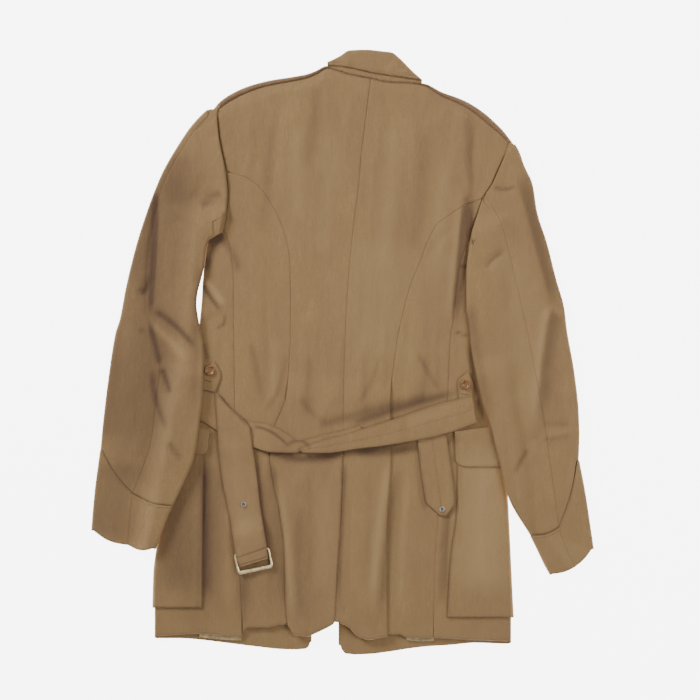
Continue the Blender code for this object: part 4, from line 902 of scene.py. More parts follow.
def shell(name, grids, wall, dress, replaced=(), flat=None, tones=()):
    """One piece of cloth from its patches, with its wall, its finish and its place in the frame."""
    points, faces, seam, first = [], [], [], 0
    for grid in grids:
        rows, columns = grid.x.shape
        level = np.maximum(grid.level, 0)
        points.append(np.stack([grid.x, grid.up, level], axis=-1).reshape(-1, 3) * MM)
        # Painted shade (above 0) and painted highlight (below 0) from the tone lines join the seam marks that
        # go to the 'seam' attribute
        tone = relief(tones, grid.x, grid.up) * (1 - np.clip(grid.seam, 0, 1))
        seam.append(np.clip(grid.seam + tone, -1, 1).reshape(-1))
        corner = np.arange(rows * columns).reshape(rows, columns) + first
        quads = [corner[:-1, :-1], corner[:-1, 1:], corner[1:, 1:], corner[1:, :-1]]
        faces.append(np.stack([side.reshape(-1) for side in quads], axis=-1))
        first += rows * columns
    mesh = bpy.data.meshes.new(name)
    mesh.from_pydata(np.concatenate(points).tolist(), [], np.concatenate(faces).tolist())
    marks = mesh.attributes.new("seam", "FLOAT", "POINT")
    marks.data.foreach_set("value", np.concatenate(seam).astype(np.float32))
    if len(grids) > 1:
        bm = bmesh.new()
        bm.from_mesh(mesh)
        bmesh.ops.remove_doubles(bm, verts=bm.verts, dist=0.00002)
        bm.to_mesh(mesh)
        bm.free()
    mesh.shade_smooth()
    obj = bpy.data.objects.new(name, mesh)
    bpy.context.scene.collection.objects.link(obj)
    mesh.materials.append(finish(dress))
    shell_wall = obj.modifiers.new("wall", "SOLIDIFY")
    shell_wall.thickness = wall * MM
    shell_wall.offset = -1
    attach(obj, "root")
    if replaced:
        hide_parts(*replaced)
    if flat:
        area = sum(cloth_area(grid) for grid in grids)
        area = min(area, flat[0] * flat[1])
        area = max(area, 0.31 * flat[0] * flat[1])
    return obj


def cloth_area(grid):
    """Area of a patch in square metres."""
    points = np.stack([grid.x, grid.up, grid.level], axis=-1) * MM
    across, down = points[:-1, 1:] - points[:-1, :-1], points[1:, :-1] - points[:-1, :-1]
    return float(np.linalg.norm(np.cross(across, down), axis=-1).sum())


def crowded(count, ends=(0.006, 0.014, 0.026, 0.045)):
    """Shares from 0 to 1 that crowd at both ends, where the seams are."""
    near = np.array([0.0, *ends])
    middle = np.linspace(ends[-1], 1 - ends[-1], count - 2 * len(ends))[1:-1]
    return np.concatenate([near, middle, 1 - near[::-1]])


def armhole_hollow(side, low, high, share):
    """How far the armhole lies outside the straight line between two of its points."""
    armhole_at = armhole_left if side < 0 else armhole_right
    straight = armhole_at(low) + (armhole_at(high) - armhole_at(low)) * share
    return armhole_at(low + (high - low) * share) - straight


def back_grid(side, rows, columns):
    """Half of the back, from the centre seam to the armhole and the back seam."""
    shoulder = SHOULDER_END_LEFT if side < 0 else SHOULDER_END_RIGHT
    edge_at = back_edge_left if side < 0 else back_edge_right
    chest = CHEST_ROWS[-1]
    out = crowded(columns)
    if side < 0:
        out = out[::-1]
    hem_x = centre_back(HEM_ROW) + (edge_at(HEM_ROW) - centre_back(HEM_ROW)) * out
    top_x = NECK_MIDDLE + (shoulder - NECK_MIDDLE) * out
    hem, top = back_hem(hem_x), top_line(top_x)
    rise = crowded(rows, (0.0012, 0.003, 0.006))[:, None]
    up = hem + (top - hem) * rise
    level = np.minimum(up, chest)
    inner = centre_back(level)
    x = inner + (edge_at(level) - inner) * out
    share = np.clip((up - chest) / (top - chest), 0, 1)
    hollow = armhole_hollow(side, chest, float(top_line(shoulder)), share)
    x = x + np.where(up > chest, (top_x - x) * share + hollow * out, 0)
    return Grid(x, up, worn_top(x, up) + skirt_lift(up))


def side_back_grid(side, rows, columns):
    """Side back, from the side seam to the back seam and on under the back's skirt."""
    edges = side_back_left if side < 0 else side_back_right
    head = (SEAM_HEAD_LEFT if side < 0 else SEAM_HEAD_RIGHT) - 0.6
    share = crowded(columns)
    low_left, low_right = edges(np.array(HEM_ROW))
    hem = side_hem(low_left + (low_right - low_left) * share)
    up = hem + (head - hem) * crowded(rows, (0.0015, 0.004, 0.008))[:, None]
    left, right = edges(up)
    x = left + (right - left) * share
    return Grid(x, up, worn_top(x, up))


def section(stops, first_on_top, levels, runs, turns, bows, outs, hug=None):
    """Rows of cloth that run between stops, fold over at the inner ones and lie on two levels."""
    bottom, top = levels
    centres = []
    for i in range(1, len(stops) - 1):
        fold, before = stops[i], stops[i - 1]
        length = np.hypot(fold[0] - before[0], fold[1] - before[1])
        half = (top(*fold) - bottom(*fold)) / 2
        reach = np.minimum(half, 0.45 * length)
        out = outs[i - 1]
        centres.append((fold[0] - reach * out[0], fold[1] - reach * out[1], out, reach))
    xs, ups, at_xs, at_ups, shares = [], [], [], [], []

    def keep(x, up, at_x, at_up, share):
        for column, value in zip((xs, ups, at_xs, at_ups, shares), (x, up, at_x, at_up, share)):
            column.append(value + np.zeros(stops[0][0].shape))

    on_top = first_on_top
    for leg in range(len(stops) - 1):
        start = stops[0] if leg == 0 else centres[leg - 1][:2]
        end = stops[-1] if leg == len(stops) - 2 else centres[leg][:2]
        dx, dy = end[0] - start[0], end[1] - start[1]
        length = np.hypot(dx, dy)
        run = runs[leg]
        for t in run if leg == 0 else run[1:]:
            swell = bows[leg] * math.sin(math.pi * t) / length
            x = start[0] + dx * t - swell * dy
            up = start[1] + dy * t + swell * dx
            if hug and leg == 0 and t < HUG_END:
                x = x + (hug[0](up) - x) * hug[1]
            keep(x, up, x, up, 1.0 if on_top else 0.0)
        if leg < len(stops) - 2:
            cx, cup, out, reach = centres[leg]
            way = 1 if on_top else -1
            for i in range(1, turns + 1):
                angle = math.pi * i / turns
                swing = reach * math.sin(angle)
                keep(cx + out[0] * swing, cup + out[1] * swing, cx, cup,
                     (1 + way * math.cos(angle)) / 2)
            on_top = not on_top
    x, up, at_x, at_up, share = (np.stack(column, axis=1) for column in (xs, ups, at_xs, at_ups, shares))
    low, high = bottom(at_x, at_up), top(at_x, at_up)
    grid = Grid(x, up, low + (high - low) * share)
    grid.on_top = share
    return grid


def outline_normal(way, lean):
    """Direction square to an outline that runs up and leans by the given share."""
    length = np.hypot(1, lean)
    return way / length, -way * lean / length


def front_edge(side, up):
    """Centre front edge of a front, as it lies under the back."""
    if side < 0:
        return centre_back(up) - 4 - 30 * ramp(-np.asarray(up, float), -20, 390)
    return centre_back(up) + 5


def front_grids(side, rows):
    """A front: flat on the table, round the side fold and up to the side seam, and its chest."""
    turn, over = 8, 26
    out = crowded(26, (0.004, 0.01, 0.02, 0.04))
    flat = len(out) - 1
    foot = (ARMHOLE_FOOT_LEFT if side < 0 else ARMHOLE_FOOT_RIGHT) - 1.0
    side_at = side_left if side < 0 else side_right
    seam_at = seam_left if side < 0 else seam_right
    up = np.linspace(HEM_ROW, foot, rows)
    stops = [(front_edge(side, up), up), (side_at(up), up), (seam_at(up), up)]
    outs = [outline_normal(side, np.zeros(rows))]
    runs = (out, 1 - crowded(over)[::-1])
    levels = (floor_level, worn_top)
    wrap = section(stops, False, levels, runs, turn, (0, 0), outs)
    low_x, share = wrap.x[0], wrap.on_top[0]
    hem = front_hem(low_x) + (side_hem(low_x) - front_hem(low_x)) * share
    drop = np.array([0, 0.02, 0.05, 0.1, 0.25, 0.4, 0.55, 0.7, 0.85])[:, None]
    ups = hem + (HEM_ROW - hem) * drop
    below = Grid(low_x + 0 * ups, ups, worn_top(low_x + 0 * ups, ups) * share)
    below.on_top = share + 0 * ups
    for name in ("x", "up", "level", "seam", "on_top"):
        setattr(wrap, name, np.concatenate([getattr(below, name), getattr(wrap, name)]))
    wrap.roll("bottom", 1.2, 2.2, 0.3, wrap.on_top)
    neck_x, neck_up = NECK_POINT_LEFT if side < 0 else NECK_POINT_RIGHT
    shoulder = SHOULDER_END_LEFT if side < 0 else SHOULDER_END_RIGHT
    armhole_at = armhole_left if side < 0 else armhole_right
    throat_x = float(front_edge(side, THROAT_UP))
    end_x = shoulder - side * 0.7
    end_up = float(top_line(end_x)) - FRONT_BELOW_SHOULDER
    share = np.linspace(0, 1, 14)[:, None]
    top_x = throat_x + (end_x - throat_x) * out
    neck_line = THROAT_UP + (neck_up - THROAT_UP) * (top_x - throat_x) / (neck_x - throat_x)
    top = np.where(side * top_x < side * neck_x, neck_line, top_line(top_x) - FRONT_BELOW_SHOULDER)
    foot_x = float(armhole_at(foot)) - side * 0.7
    start_x = float(front_edge(side, foot)) + (foot_x - float(front_edge(side, foot))) * out
    x = start_x + (top_x - start_x) * share + armhole_hollow(side, foot, end_up, share) * out
    chest_up = foot + (top - foot) * share
    chest = Grid(x, chest_up, 0.0)
    chest.x[0], chest.up[0] = wrap.x[-1, :flat + 1], wrap.up[-1, :flat + 1]
    if side > 0:
        wrap.turned_round()
        chest.turned_round()
    return [wrap, chest]


SLEEVE_LINES = {
    (-1, "under"): {"edge": inner_left, "high": line_of(HIND_LEFT, "up", "x"), "inward": 1,
                    "low": line_of(FOREARM_LEFT, "up", "x"), "armhole": armhole_left},
    (-1, "top"): {"edge": outer_left, "high": line_of(HIND_LEFT, "up", "x"), "inward": -1,
                  "low": line_of(FOREARM_LEFT, "up", "x"), "armhole": None},
    (1, "under"): {"edge": inner_right, "high": hind_right, "inward": -1,
                   "low": line_of(FOREARM_RIGHT, "up", "x"), "armhole": armhole_right},
    (1, "top"): {"edge": outer_right, "high": hind_and_armhole_right, "inward": 1,
                 "low": line_of(FOREARM_RIGHT, "up", "x"), "armhole": None},
}


def sleeve_grid(side, kind, rows_table, rows):
    """A sleeve panel: from its seam on top, round its edge, to its seam below."""
    curves = SLEEVE_LINES[(side, kind)]
    t = np.linspace(0, 1, rows)
    row = {key: along(rows_table, key)(t) for key in rows_table[0]}
    inward = curves["inward"]
    edge_at = curves["edge"]
    stops = [(curves["high"](row["high"]), row["high"]), (edge_at(row["edge"]), row["edge"]),
             (curves["low"](row["low"]), row["low"])]
    lean = (edge_at(row["edge"] + 1) - edge_at(row["edge"] - 1)) / 2
    hug = None
    if curves["armhole"]:
        last = (len(rows_table) - 1.5) / (len(rows_table) - 1)
        hug = (lambda up: curves["armhole"](up) - inward * 0.3, np.clip((t - last) / (1 - last), 0, 1))
    runs = (1 - crowded(26)[::-1], np.linspace(0, 1, 7))
    grid = section(stops, True, (sleeve_floor, sleeve_top), runs, 10, (row["bow"], 0),
                   [outline_normal(inward, lean)], hug)
    if inward < 0:
        grid.turned_round()
    return grid


def cuff_grid(side, rows_table, rows):
    """Cuff: one strip round the end of the sleeve, open at its seam."""
    row = {key: along(rows_table, key)(np.linspace(0, 1, rows)) for key in rows_table[0]}
    ends = rows_table[0], rows_table[-1]
    outs = []
    for edge, way in (("inner", -side), ("outer", side)):
        lean = (ends[1][edge + "_x"] - ends[0][edge + "_x"]) / (ends[1][edge + "_up"] - ends[0][edge + "_up"])
        outs.append(outline_normal(way, np.full(rows, lean)))
    first, second = (row["inner_x"], row["inner_up"]), (row["outer_x"], row["outer_up"])
    if side > 0:
        first, second, outs = second, first, outs[::-1]
    seam = (row["seam_x"], row["seam_up"])
    runs = (crowded(18), np.linspace(0, 1, 8), crowded(18))
    bows = (-row["bow"], 0, -row["bow"])
    return section([seam, first, second, seam], True, (sleeve_floor, sleeve_top), runs, 10, bows, outs)


def collar_grids(columns):
    """The fall of the collar, folded over its crest, and the stand under it."""
    t = np.linspace(1.11, 0, columns)
    x, crest, low, neck = (along(COLLAR, key)(t) for key in ("x", "crest", "fall", "neck"))
    frayed = FRAY * np.array([noise.noise(Vector((value / 5.0, 0, 8.0))) for value in x])
    low = low + frayed
    depth = crest - low
    under = np.maximum(low - 0.45 * depth, neck + 1.0)
    level = STAND_LEVEL + LAY_GAP + COLLAR_WALL

    def fall_top(at_x, up):
        puff = 0.9 * unrest(np.asarray(at_x, float), np.asarray(up, float), 14.0, 9.0, 2.2)
        return level + 0.8 + puff

    runs = (crowded(20), np.linspace(0, 1, 6))
    outs = [(np.zeros(columns), np.ones(columns))]
    fall = section([(x, low), (x, crest), (x, under)], True, (floor_level, fall_top), runs, 8, (0, 0), outs)
    cover = np.minimum(low + STAND_UNDER_FALL, low + 0.4 * depth)
    share = np.linspace(0, 1, 16)
    stand_up = (neck - 3.0)[:, None] + (cover - neck + 3.0)[:, None] * share
    ruck = 0.7 * unrest(x[:, None] + 0 * stand_up, stand_up, 3.2, 30.0, 6.4)
    clear = ramp(stand_up - neck[:, None], -0.6, 1.2)
    stand = Grid(x[:, None] + 0 * stand_up, stand_up, 2.4 + (STAND_LEVEL + ruck - 2.4) * clear)
    return fall, stand


def strap_grid(rows_table, rows, edge_at, start, end):
    """Shoulder strap: the rim that shows beyond the shoulder seam, curved down over it."""
    t = np.linspace(end, start, rows)
    x, rim = along(rows_table, "x")(t), along(rows_table, "rim")(t)
    slope = (edge_at(x + SLOPE_SPAN) - edge_at(x - SLOPE_SPAN)) / (2 * SLOPE_SPAN)
    length = np.hypot(1, slope)
    edge_up = edge_at(x)
    level = STRAP_LEVEL + 0.3
    columns = []
    for under, height in STRAP_TUCK:
        columns.append((x + slope / length * under, edge_up - under / length, height + 0 * x))
    for reach, share in STRAP_ROUND:
        out = reach * rim / length
        columns.append((x - slope * out, edge_up + out, level * share + 0 * x))
    parts = [np.stack([column[k] for column in columns], axis=1) for k in range(3)]
    return Grid(*parts)


def allowance_grid(side, feet, high):
    """Sleeve head allowance, from under the body's armhole edge to just under the sleeve."""
    armhole_at, outer = (armhole_left, outer_left) if side < 0 else (armhole_right, outer_right)
    share = crowded(30)[None, :]
    low = feet[0] + (feet[1] - feet[0]) * share
    up = low + (high - low) * np.linspace(0, 1, 110)[:, None]
    inside = armhole_at(up) - side * 5.0
    reach = np.minimum(37.0, side * (outer(up) - inside) - 3.0)
    x = inside + side * reach * share
    out = ramp(share, 0.12, 0.26)
    grid = Grid(x, up, (worn_top(x, up) - 1.9) * (1 - out) + (sleeve_top(x, up) - 0.9) * out)
    return grid if side > 0 else grid.turned_round()


def strip_point(read, t, u, wall):
    """Place and level on a strip at share t of its length and share u of its width."""
    row = {key: read[key](t) for key in read}
    x = row["ax"] + (row["bx"] - row["ax"]) * u
    up = row["aup"] + (row["bup"] - row["aup"]) * u
    return x, up, cover_top(x, up) + STRIP_GAP + wall + row["lift"] * BELT_STEP


def strip_grid(rows_table, wall, rows, across):
    """A flat strip that is laid on the back, such as a belt or a tab."""
    read = {key: along(rows_table, key) for key in rows_table[0]}
    t = np.linspace(0, 1, rows)[:, None]
    u = crowded(across, (0.012, 0.03, 0.06, 0.1))[None, :]
    x, up, level = strip_point(read, t, u, wall)
    level = level + STRIP_UNREST * unrest(x, up, 11.0, 11.0, 9.3)
    return Grid(x, up, level)


def skin_grid(side, up, inner_x, offset, across):
    """A piece on a front: from its inner edge, out and down round the side fold."""
    side_at = side_left if side < 0 else side_right
    side_x = side_at(up)
    half = body_top(side_x, up) / 2
    centre = side_x - side * half
    columns = []
    for share in crowded(across):
        x = inner_x + (centre - inner_x) * share
        columns.append((x, worn_top(x, up) + offset))
    reach = half + offset
    for angle in np.linspace(math.pi / 2, -POCKET_TURN_UNDER, 9)[1:]:
        columns.append((centre + side * reach * math.cos(angle), half + reach * math.sin(angle)))
    x = np.stack([column[0] for column in columns], axis=1)
    level = np.stack([column[1] for column in columns], axis=1)
    grid = Grid(x, up[:, None] + 0 * x, level)
    return grid if side > 0 else grid.turned_round()


def node_of(tree, kind, **inputs):
    """Add a node and set its plain inputs by name."""
    made = tree.nodes.new(kind)
    for name, value in inputs.items():
        made.inputs[name.replace("_", " ")].default_value = value
    return made


def noise_of(tree, where, size, detail=2.0, roughness=0.5):
    """Noise whose blotches are about size metres across."""
    made = node_of(tree, "ShaderNodeTexNoise", Scale=1.0 / size, Detail=detail, Roughness=roughness)
    tree.links.new(where, made.inputs["Vector"])
    return made.outputs["Fac"]


def blend_of(tree, share, first, second, mode="MIX"):
    """Mix two colours; each is a socket or a plain colour."""
    made = tree.nodes.new("ShaderNodeMix")
    made.data_type = "RGBA"
    made.blend_type = mode
    for name, value in (("Factor", share), ("A", first), ("B", second)):
        socket = next(s for s in made.inputs if s.name == name and s.enabled)
        if isinstance(value, bpy.types.NodeSocket):
            tree.links.new(value, socket)
        else:
            socket.default_value = value
    return next(s for s in made.outputs if s.enabled)


def span_of(tree, value, low, high, to_low=0.0, to_high=1.0):
    """Stretch a value from one span to another, held at the ends."""
    made = node_of(tree, "ShaderNodeMapRange")
    made.clamp = True
    tree.links.new(value, made.inputs["Value"])
    for name, number in (("From Min", low), ("From Max", high), ("To Min", to_low), ("To Max", to_high)):
        made.inputs[name].default_value = number
    return made.outputs["Result"]


def bump_of(tree, height, strength, depth, below=None):
    made = node_of(tree, "ShaderNodeBump", Strength=strength, Distance=depth)
    tree.links.new(height, made.inputs["Height"])
    if below is not None:
        tree.links.new(below, made.inputs["Normal"])
    return made.outputs["Normal"]


def twill_finish(name, cloth, shade, light, seam, turn, weave):
    """Wool twill: slanted weave, fine grain, slow changes of tone, dark seams with painted shade along folds
    and rolled edges, and painted highlights with the rubbed ends of the straps.
    """
    made = bpy.data.materials.new(name)
    made.use_nodes = True
    tree = made.node_tree
    shader = tree.nodes["Principled BSDF"]
    place = tree.nodes.new("ShaderNodeTexCoord").outputs["Object"]
    hang = node_of(tree, "ShaderNodeMapping", Scale=(1, 0.4, 1))
    tree.links.new(place, hang.inputs["Vector"])
    slow = span_of(tree, noise_of(tree, hang.outputs["Vector"], 0.06, 3.0, 0.55), 0.3, 0.62, 0.45, 1.0)
    tone = blend_of(tree, slow, tuple(shade), tuple(cloth))
    patch = span_of(tree, noise_of(tree, hang.outputs["Vector"], 0.017, 3.0, 0.6), 0.45, 0.75, 0.0, 0.3)
    tone = blend_of(tree, patch, tone, tuple(light))
    streak = node_of(tree, "ShaderNodeMapping", Rotation=(0, 0, math.radians(turn)), Scale=(1, 0.16, 1))
    tree.links.new(place, streak.inputs["Vector"])
    yarn = span_of(tree, noise_of(tree, streak.outputs["Vector"], 0.0024, 2.0, 0.6), 0.3, 0.7, 0.0, 0.42)
    tone = blend_of(tree, yarn, tone, tuple(shade), "MIX")
    grain = span_of(tree, noise_of(tree, place, 0.0023, 1.0, 0.5), 0.3, 0.7, 0.0, 0.6)
    tone = blend_of(tree, grain, tone, tuple(value * 0.84 for value in cloth[:3]) + (1,))
    # Above 0 the 'seam' attribute darkens the cloth towards the seam colour: seams and stitching, with
    # painted shade along folds and rolled edges. Below 0 it lightens it towards the light colour: painted
    # highlights and the worn strap ends.
    mark = tree.nodes.new("ShaderNodeAttribute")
    mark.attribute_name = "seam"
    tone = blend_of(tree, span_of(tree, mark.outputs["Fac"], 0.0, -1.0, 0.0, 0.9), tone, tuple(light))
    tone = blend_of(tree, span_of(tree, mark.outputs["Fac"], 0.0, 1.0, 0.0, 0.85), tone, tuple(seam))
    tree.links.new(tone, shader.inputs["Base Color"])
    twill = node_of(tree, "ShaderNodeMapping", Rotation=(0, 0, math.radians(turn + 45)))
    tree.links.new(place, twill.inputs["Vector"])
    rib = node_of(tree, "ShaderNodeTexWave", Scale=0.314 / weave, Distortion=0.6, Detail=1.0)
    tree.links.new(twill.outputs["Vector"], rib.inputs["Vector"])
    creases = bump_of(tree, noise_of(tree, hang.outputs["Vector"], 0.02, 3.0, 0.6), 0.6, 0.0032)
    crumple = bump_of(tree, noise_of(tree, place, 0.006, 3.0, 0.6), 0.5, 0.0011, creases)
    fuzz = bump_of(tree, noise_of(tree, place, 0.0012, 2.0, 0.6), 0.35, 0.00035, crumple)
    tree.links.new(bump_of(tree, rib.outputs["Fac"], 0.35, 0.00025, fuzz), shader.inputs["Normal"])
    shader.inputs["Roughness"].default_value = 0.86
    shader.inputs["Sheen Weight"].default_value = 0.1
    shader.inputs["Sheen Roughness"].default_value = 0.55
    shader.inputs["Sheen Tint"].default_value = (0.95, 0.86, 0.72, 1.0)
    shader.inputs["Specular IOR Level"].default_value = 0.25
    made.diffuse_color = tuple(cloth)
    return made


def plain_finish(name, first, second, blotch, roughness, metal=0.0, relief_depth=0.0001, coat=0.0):
    """Horn, metal, thread or lining: two tones, fine relief and its own gloss."""
    made = bpy.data.materials.new(name)
    made.use_nodes = True
    tree = made.node_tree
    shader = tree.nodes["Principled BSDF"]
    place = tree.nodes.new("ShaderNodeTexCoord").outputs["Object"]
    share = span_of(tree, noise_of(tree, place, blotch, 4.0, 0.6), 0.35, 0.65)
    tree.links.new(blend_of(tree, share, tuple(first), tuple(second)), shader.inputs["Base Color"])
    fine = noise_of(tree, place, blotch / 6, 2.0, 0.6)
    tree.links.new(span_of(tree, fine, 0.3, 0.7, roughness * 0.8, min(1.0, roughness * 1.25)),
                   shader.inputs["Roughness"])
    tree.links.new(bump_of(tree, fine, 0.3, relief_depth), shader.inputs["Normal"])
    shader.inputs["Metallic"].default_value = metal
    shader.inputs["Coat Weight"].default_value = coat
    made.diffuse_color = tuple(first)
    return made


def finish(name):
    """The named finish of the jacket, made on first use from the panel's colours."""
    found = bpy.data.materials.get("finish_" + name)
    if found:
        return found
    colours = bpy.context.scene.jacket_finish
    sizes = bpy.context.scene.jacket_sizes
    full = "finish_" + name
    if name in ("cloth", "cloth_slant", "cloth_belt"):
        turn = {"cloth": 90.0, "cloth_slant": 74.0, "cloth_belt": 10.0}[name]
        return twill_finish(full, colours.cloth, colours.shade, colours.light, colours.seam, turn,
                            sizes.weave)
    if name == "cloth_shaded":
        return twill_finish(full, colours.shade, colours.shade, colours.light, colours.seam, 40.0,
                            sizes.weave)
    if name == "lining":
        return plain_finish(full, colours.lining, colours.lining_shade, 0.006, 0.8, relief_depth=0.0004)
    if name == "thread":
        return plain_finish(full, colours.thread, colours.shade, 0.003, 0.7)
    if name == "dark_thread_and_eyelet_shade":
        return plain_finish(full, colours.seam, colours.shade, 0.003, 0.7)
    if name == "horn":
        return plain_finish(full, colours.horn, colours.horn_dark, 0.0035, 0.4, coat=0.1)
    if name == "brass":
        return plain_finish(full, colours.brass, colours.brass_dull, 0.009, 0.3, metal=0.75)
    if name == "steel":
        return plain_finish(full, colours.steel, colours.steel, 0.004, 0.4, metal=1.0)
    raise ValueError("no finish called " + name)


def colour_choice(name, tone, words):
    return bpy.props.FloatVectorProperty(
        name=name, subtype="COLOR", size=4, default=(*tone, 1.0), min=0, max=1, description=words)


class JacketFinish(bpy.types.PropertyGroup):
    """Colours of the jacket."""

    cloth: colour_choice("Cloth", (0.298, 0.186, 0.079), "Main tone of the wool twill")
    shade: colour_choice("Shade", (0.225, 0.130, 0.068), "Darker, redder tone of the cloth")
    # Besides the random light patches and the worn strap ends, this is the colour of the painted highlights
    light: colour_choice("Light", (0.38, 0.252, 0.118), "Rubbed, lighter tone of the cloth")
    # Also the colour of the painted shade along folds, creases and rolled edges
    seam: colour_choice("Seam", (0.075, 0.040, 0.026), "Shadow in the seams and along stitching")
    thread: colour_choice("Thread", (0.33, 0.22, 0.13), "Sewing thread")
    lining: colour_choice("Lining", (0.46, 0.36, 0.19), "Pale lining at the torn hem")
    lining_shade: colour_choice("Lining shade", (0.27, 0.18, 0.09), "Soiled tone of the lining")
    horn: colour_choice("Horn", (0.33, 0.15, 0.045), "Light streaks of the horn buttons")
    horn_dark: colour_choice("Dark horn", (0.13, 0.052, 0.018), "Dark streaks of the horn buttons")
    brass: colour_choice("Brass", (1.0, 0.84, 0.52), "Bright face of the buckle")
    brass_dull: colour_choice("Dull brass", (0.80, 0.58, 0.28), "Worn places of the buckle")
    steel: colour_choice("Steel", (0.36, 0.35, 0.32), "Eyelets")


def length_choice(name, value, words):
    return bpy.props.FloatProperty(
        name=name, subtype="DISTANCE", unit="LENGTH", default=value, min=0.0, precision=5,
        description=words)


class JacketSizes(bpy.types.PropertyGroup):
    """Sizes of the jacket's cloth and sewing."""

    wall: length_choice("Cloth wall", 0.0014, "Thickness of the jacket's cloth")
    belt_wall: length_choice("Belt wall", 0.0022, "Thickness of the belt, two layers of cloth")
    tab_wall: length_choice("Tab wall", 0.0018, "Thickness of tabs and flaps")
    seam_depth: length_choice("Seam depth", 0.0011, "How far a pressed seam lies in")
    weave: length_choice("Weave", 0.0010, "From one slanted rib of the twill to the next")
    pitch: length_choice("Stitch pitch", 0.0034, "From one stitch to the next")
    stitch: length_choice("Stitch length", 0.0025, "Length of one stitch")
    thread: length_choice("Thread width", 0.00055, "Width of the sewing thread")
    lens: bpy.props.FloatProperty(name="Lens", default=85.0, min=20, description="Lens of the camera in mm")


def sewing_tree():
    """Geometry nodes that lay a stitch at every pitch along a path."""
    found = bpy.data.node_groups.get("sewing")
    if found:
        return found
    tree = bpy.data.node_groups.new("sewing", "GeometryNodeTree")
    face = tree.interface
    face.new_socket(name="Path", in_out="INPUT", socket_type="NodeSocketGeometry")
    for name in ("Pitch", "Length", "Width"):
        face.new_socket(name=name, in_out="INPUT", socket_type="NodeSocketFloat")
    face.new_socket(name="Spread", in_out="INPUT", socket_type="NodeSocketFloat")
    face.new_socket(name="Thread", in_out="INPUT", socket_type="NodeSocketMaterial")
    face.new_socket(name="Sewing", in_out="OUTPUT", socket_type="NodeSocketGeometry")
    nodes, link = tree.nodes, tree.links.new
    start, end = nodes.new("NodeGroupInput"), nodes.new("NodeGroupOutput")
    curve = nodes.new("GeometryNodeMeshToCurve")
    spaced = nodes.new("GeometryNodeResampleCurve")
    spaced.mode = "LENGTH"
    tangent = nodes.new("GeometryNodeInputTangent")
    turned = nodes.new("FunctionNodeAlignRotationToVector")
    turned.axis = "X"
    jitter = nodes.new("FunctionNodeRandomValue")
    jitter.data_type = "FLOAT_VECTOR"
    jitter.inputs["Seed"].default_value = 7
    spin = nodes.new("FunctionNodeRotateRotation")
    spin.rotation_space = "LOCAL"
    euler = nodes.new("FunctionNodeEulerToRotation")
    drawn = nodes.new("ShaderNodeVectorMath")
    drawn.operation = "SCALE"
    bead = nodes.new("GeometryNodeMeshUVSphere")
    bead.inputs["Segments"].default_value = 6
    bead.inputs["Rings"].default_value = 4
    bead.inputs["Radius"].default_value = 0.5
    size = nodes.new("ShaderNodeCombineXYZ")
    placed = nodes.new("GeometryNodeInstanceOnPoints")
    real = nodes.new("GeometryNodeRealizeInstances")
    dyed = nodes.new("GeometryNodeSetMaterial")
    link(start.outputs["Path"], curve.inputs["Mesh"])
    link(curve.outputs["Curve"], spaced.inputs["Curve"])
    link(start.outputs["Pitch"], spaced.inputs["Length"])
    link(spaced.outputs["Curve"], placed.inputs["Points"])
    link(bead.outputs["Mesh"], placed.inputs["Instance"])
    link(tangent.outputs["Tangent"], turned.inputs["Vector"])
    low = next(s for s in jitter.inputs if s.name == "Min" and s.enabled)
    high = next(s for s in jitter.inputs if s.name == "Max" and s.enabled)
    low.default_value, high.default_value = (-0.5, -0.5, -1), (0.5, 0.5, 1)
    value = next(s for s in jitter.outputs if s.enabled)
    link(value, drawn.inputs[0])
    link(start.outputs["Spread"], drawn.inputs["Scale"])
    link(drawn.outputs["Vector"], euler.inputs["Euler"])
    link(turned.outputs["Rotation"], spin.inputs["Rotation"])
    link(euler.outputs["Rotation"], spin.inputs["Rotate By"])
    link(spin.outputs["Rotation"], placed.inputs["Rotation"])
    link(start.outputs["Length"], size.inputs["X"])
    link(start.outputs["Width"], size.inputs["Y"])
    link(start.outputs["Width"], size.inputs["Z"])
    link(size.outputs["Vector"], placed.inputs["Scale"])
    link(placed.outputs["Instances"], real.inputs["Geometry"])
    link(real.outputs["Geometry"], dyed.inputs["Geometry"])
    link(start.outputs["Thread"], dyed.inputs["Material"])
    link(dyed.outputs["Geometry"], end.inputs["Sewing"])
    return tree


def sew_paths(name, paths, thread="thread", length=None, width=None, pitch=None, spread=0.0):
    """Stitches along paths of points in millimetres, as one plain mesh."""
    sizes = bpy.context.scene.jacket_sizes
    verts, edges = [], []
    for path in paths:
        first = len(verts)
        verts += [tuple(float(value) * MM for value in point) for point in path]
        edges += [(first + i, first + i + 1) for i in range(len(path) - 1)]
    mesh = bpy.data.meshes.new(name + "_path")
    mesh.from_pydata(verts, edges, [])
    path_obj = bpy.data.objects.new(name + "_path", mesh)
    bpy.context.scene.collection.objects.link(path_obj)
    tree = sewing_tree()
    sewn = path_obj.modifiers.new("sewing", "NODES")
    sewn.node_group = tree
    values = {"Pitch": pitch or sizes.pitch, "Length": length or sizes.stitch,
              "Width": width or sizes.thread, "Spread": spread, "Thread": finish(thread)}
    for item in tree.interface.items_tree:
        if item.item_type == "SOCKET" and item.in_out == "INPUT" and item.name in values:
            sewn[item.identifier] = values[item.name]
    bpy.context.view_layer.update()
    evaluated = path_obj.evaluated_get(bpy.context.evaluated_depsgraph_get())
    made = bpy.data.meshes.new_from_object(evaluated)
    made.name = name
    bpy.data.objects.remove(path_obj, do_unlink=True)
    if not made.materials:
        made.materials.append(finish(thread))
    made.shade_smooth()
    obj = bpy.data.objects.new(name, made)
    bpy.context.scene.collection.objects.link(obj)
    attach(obj, "root")
    return obj


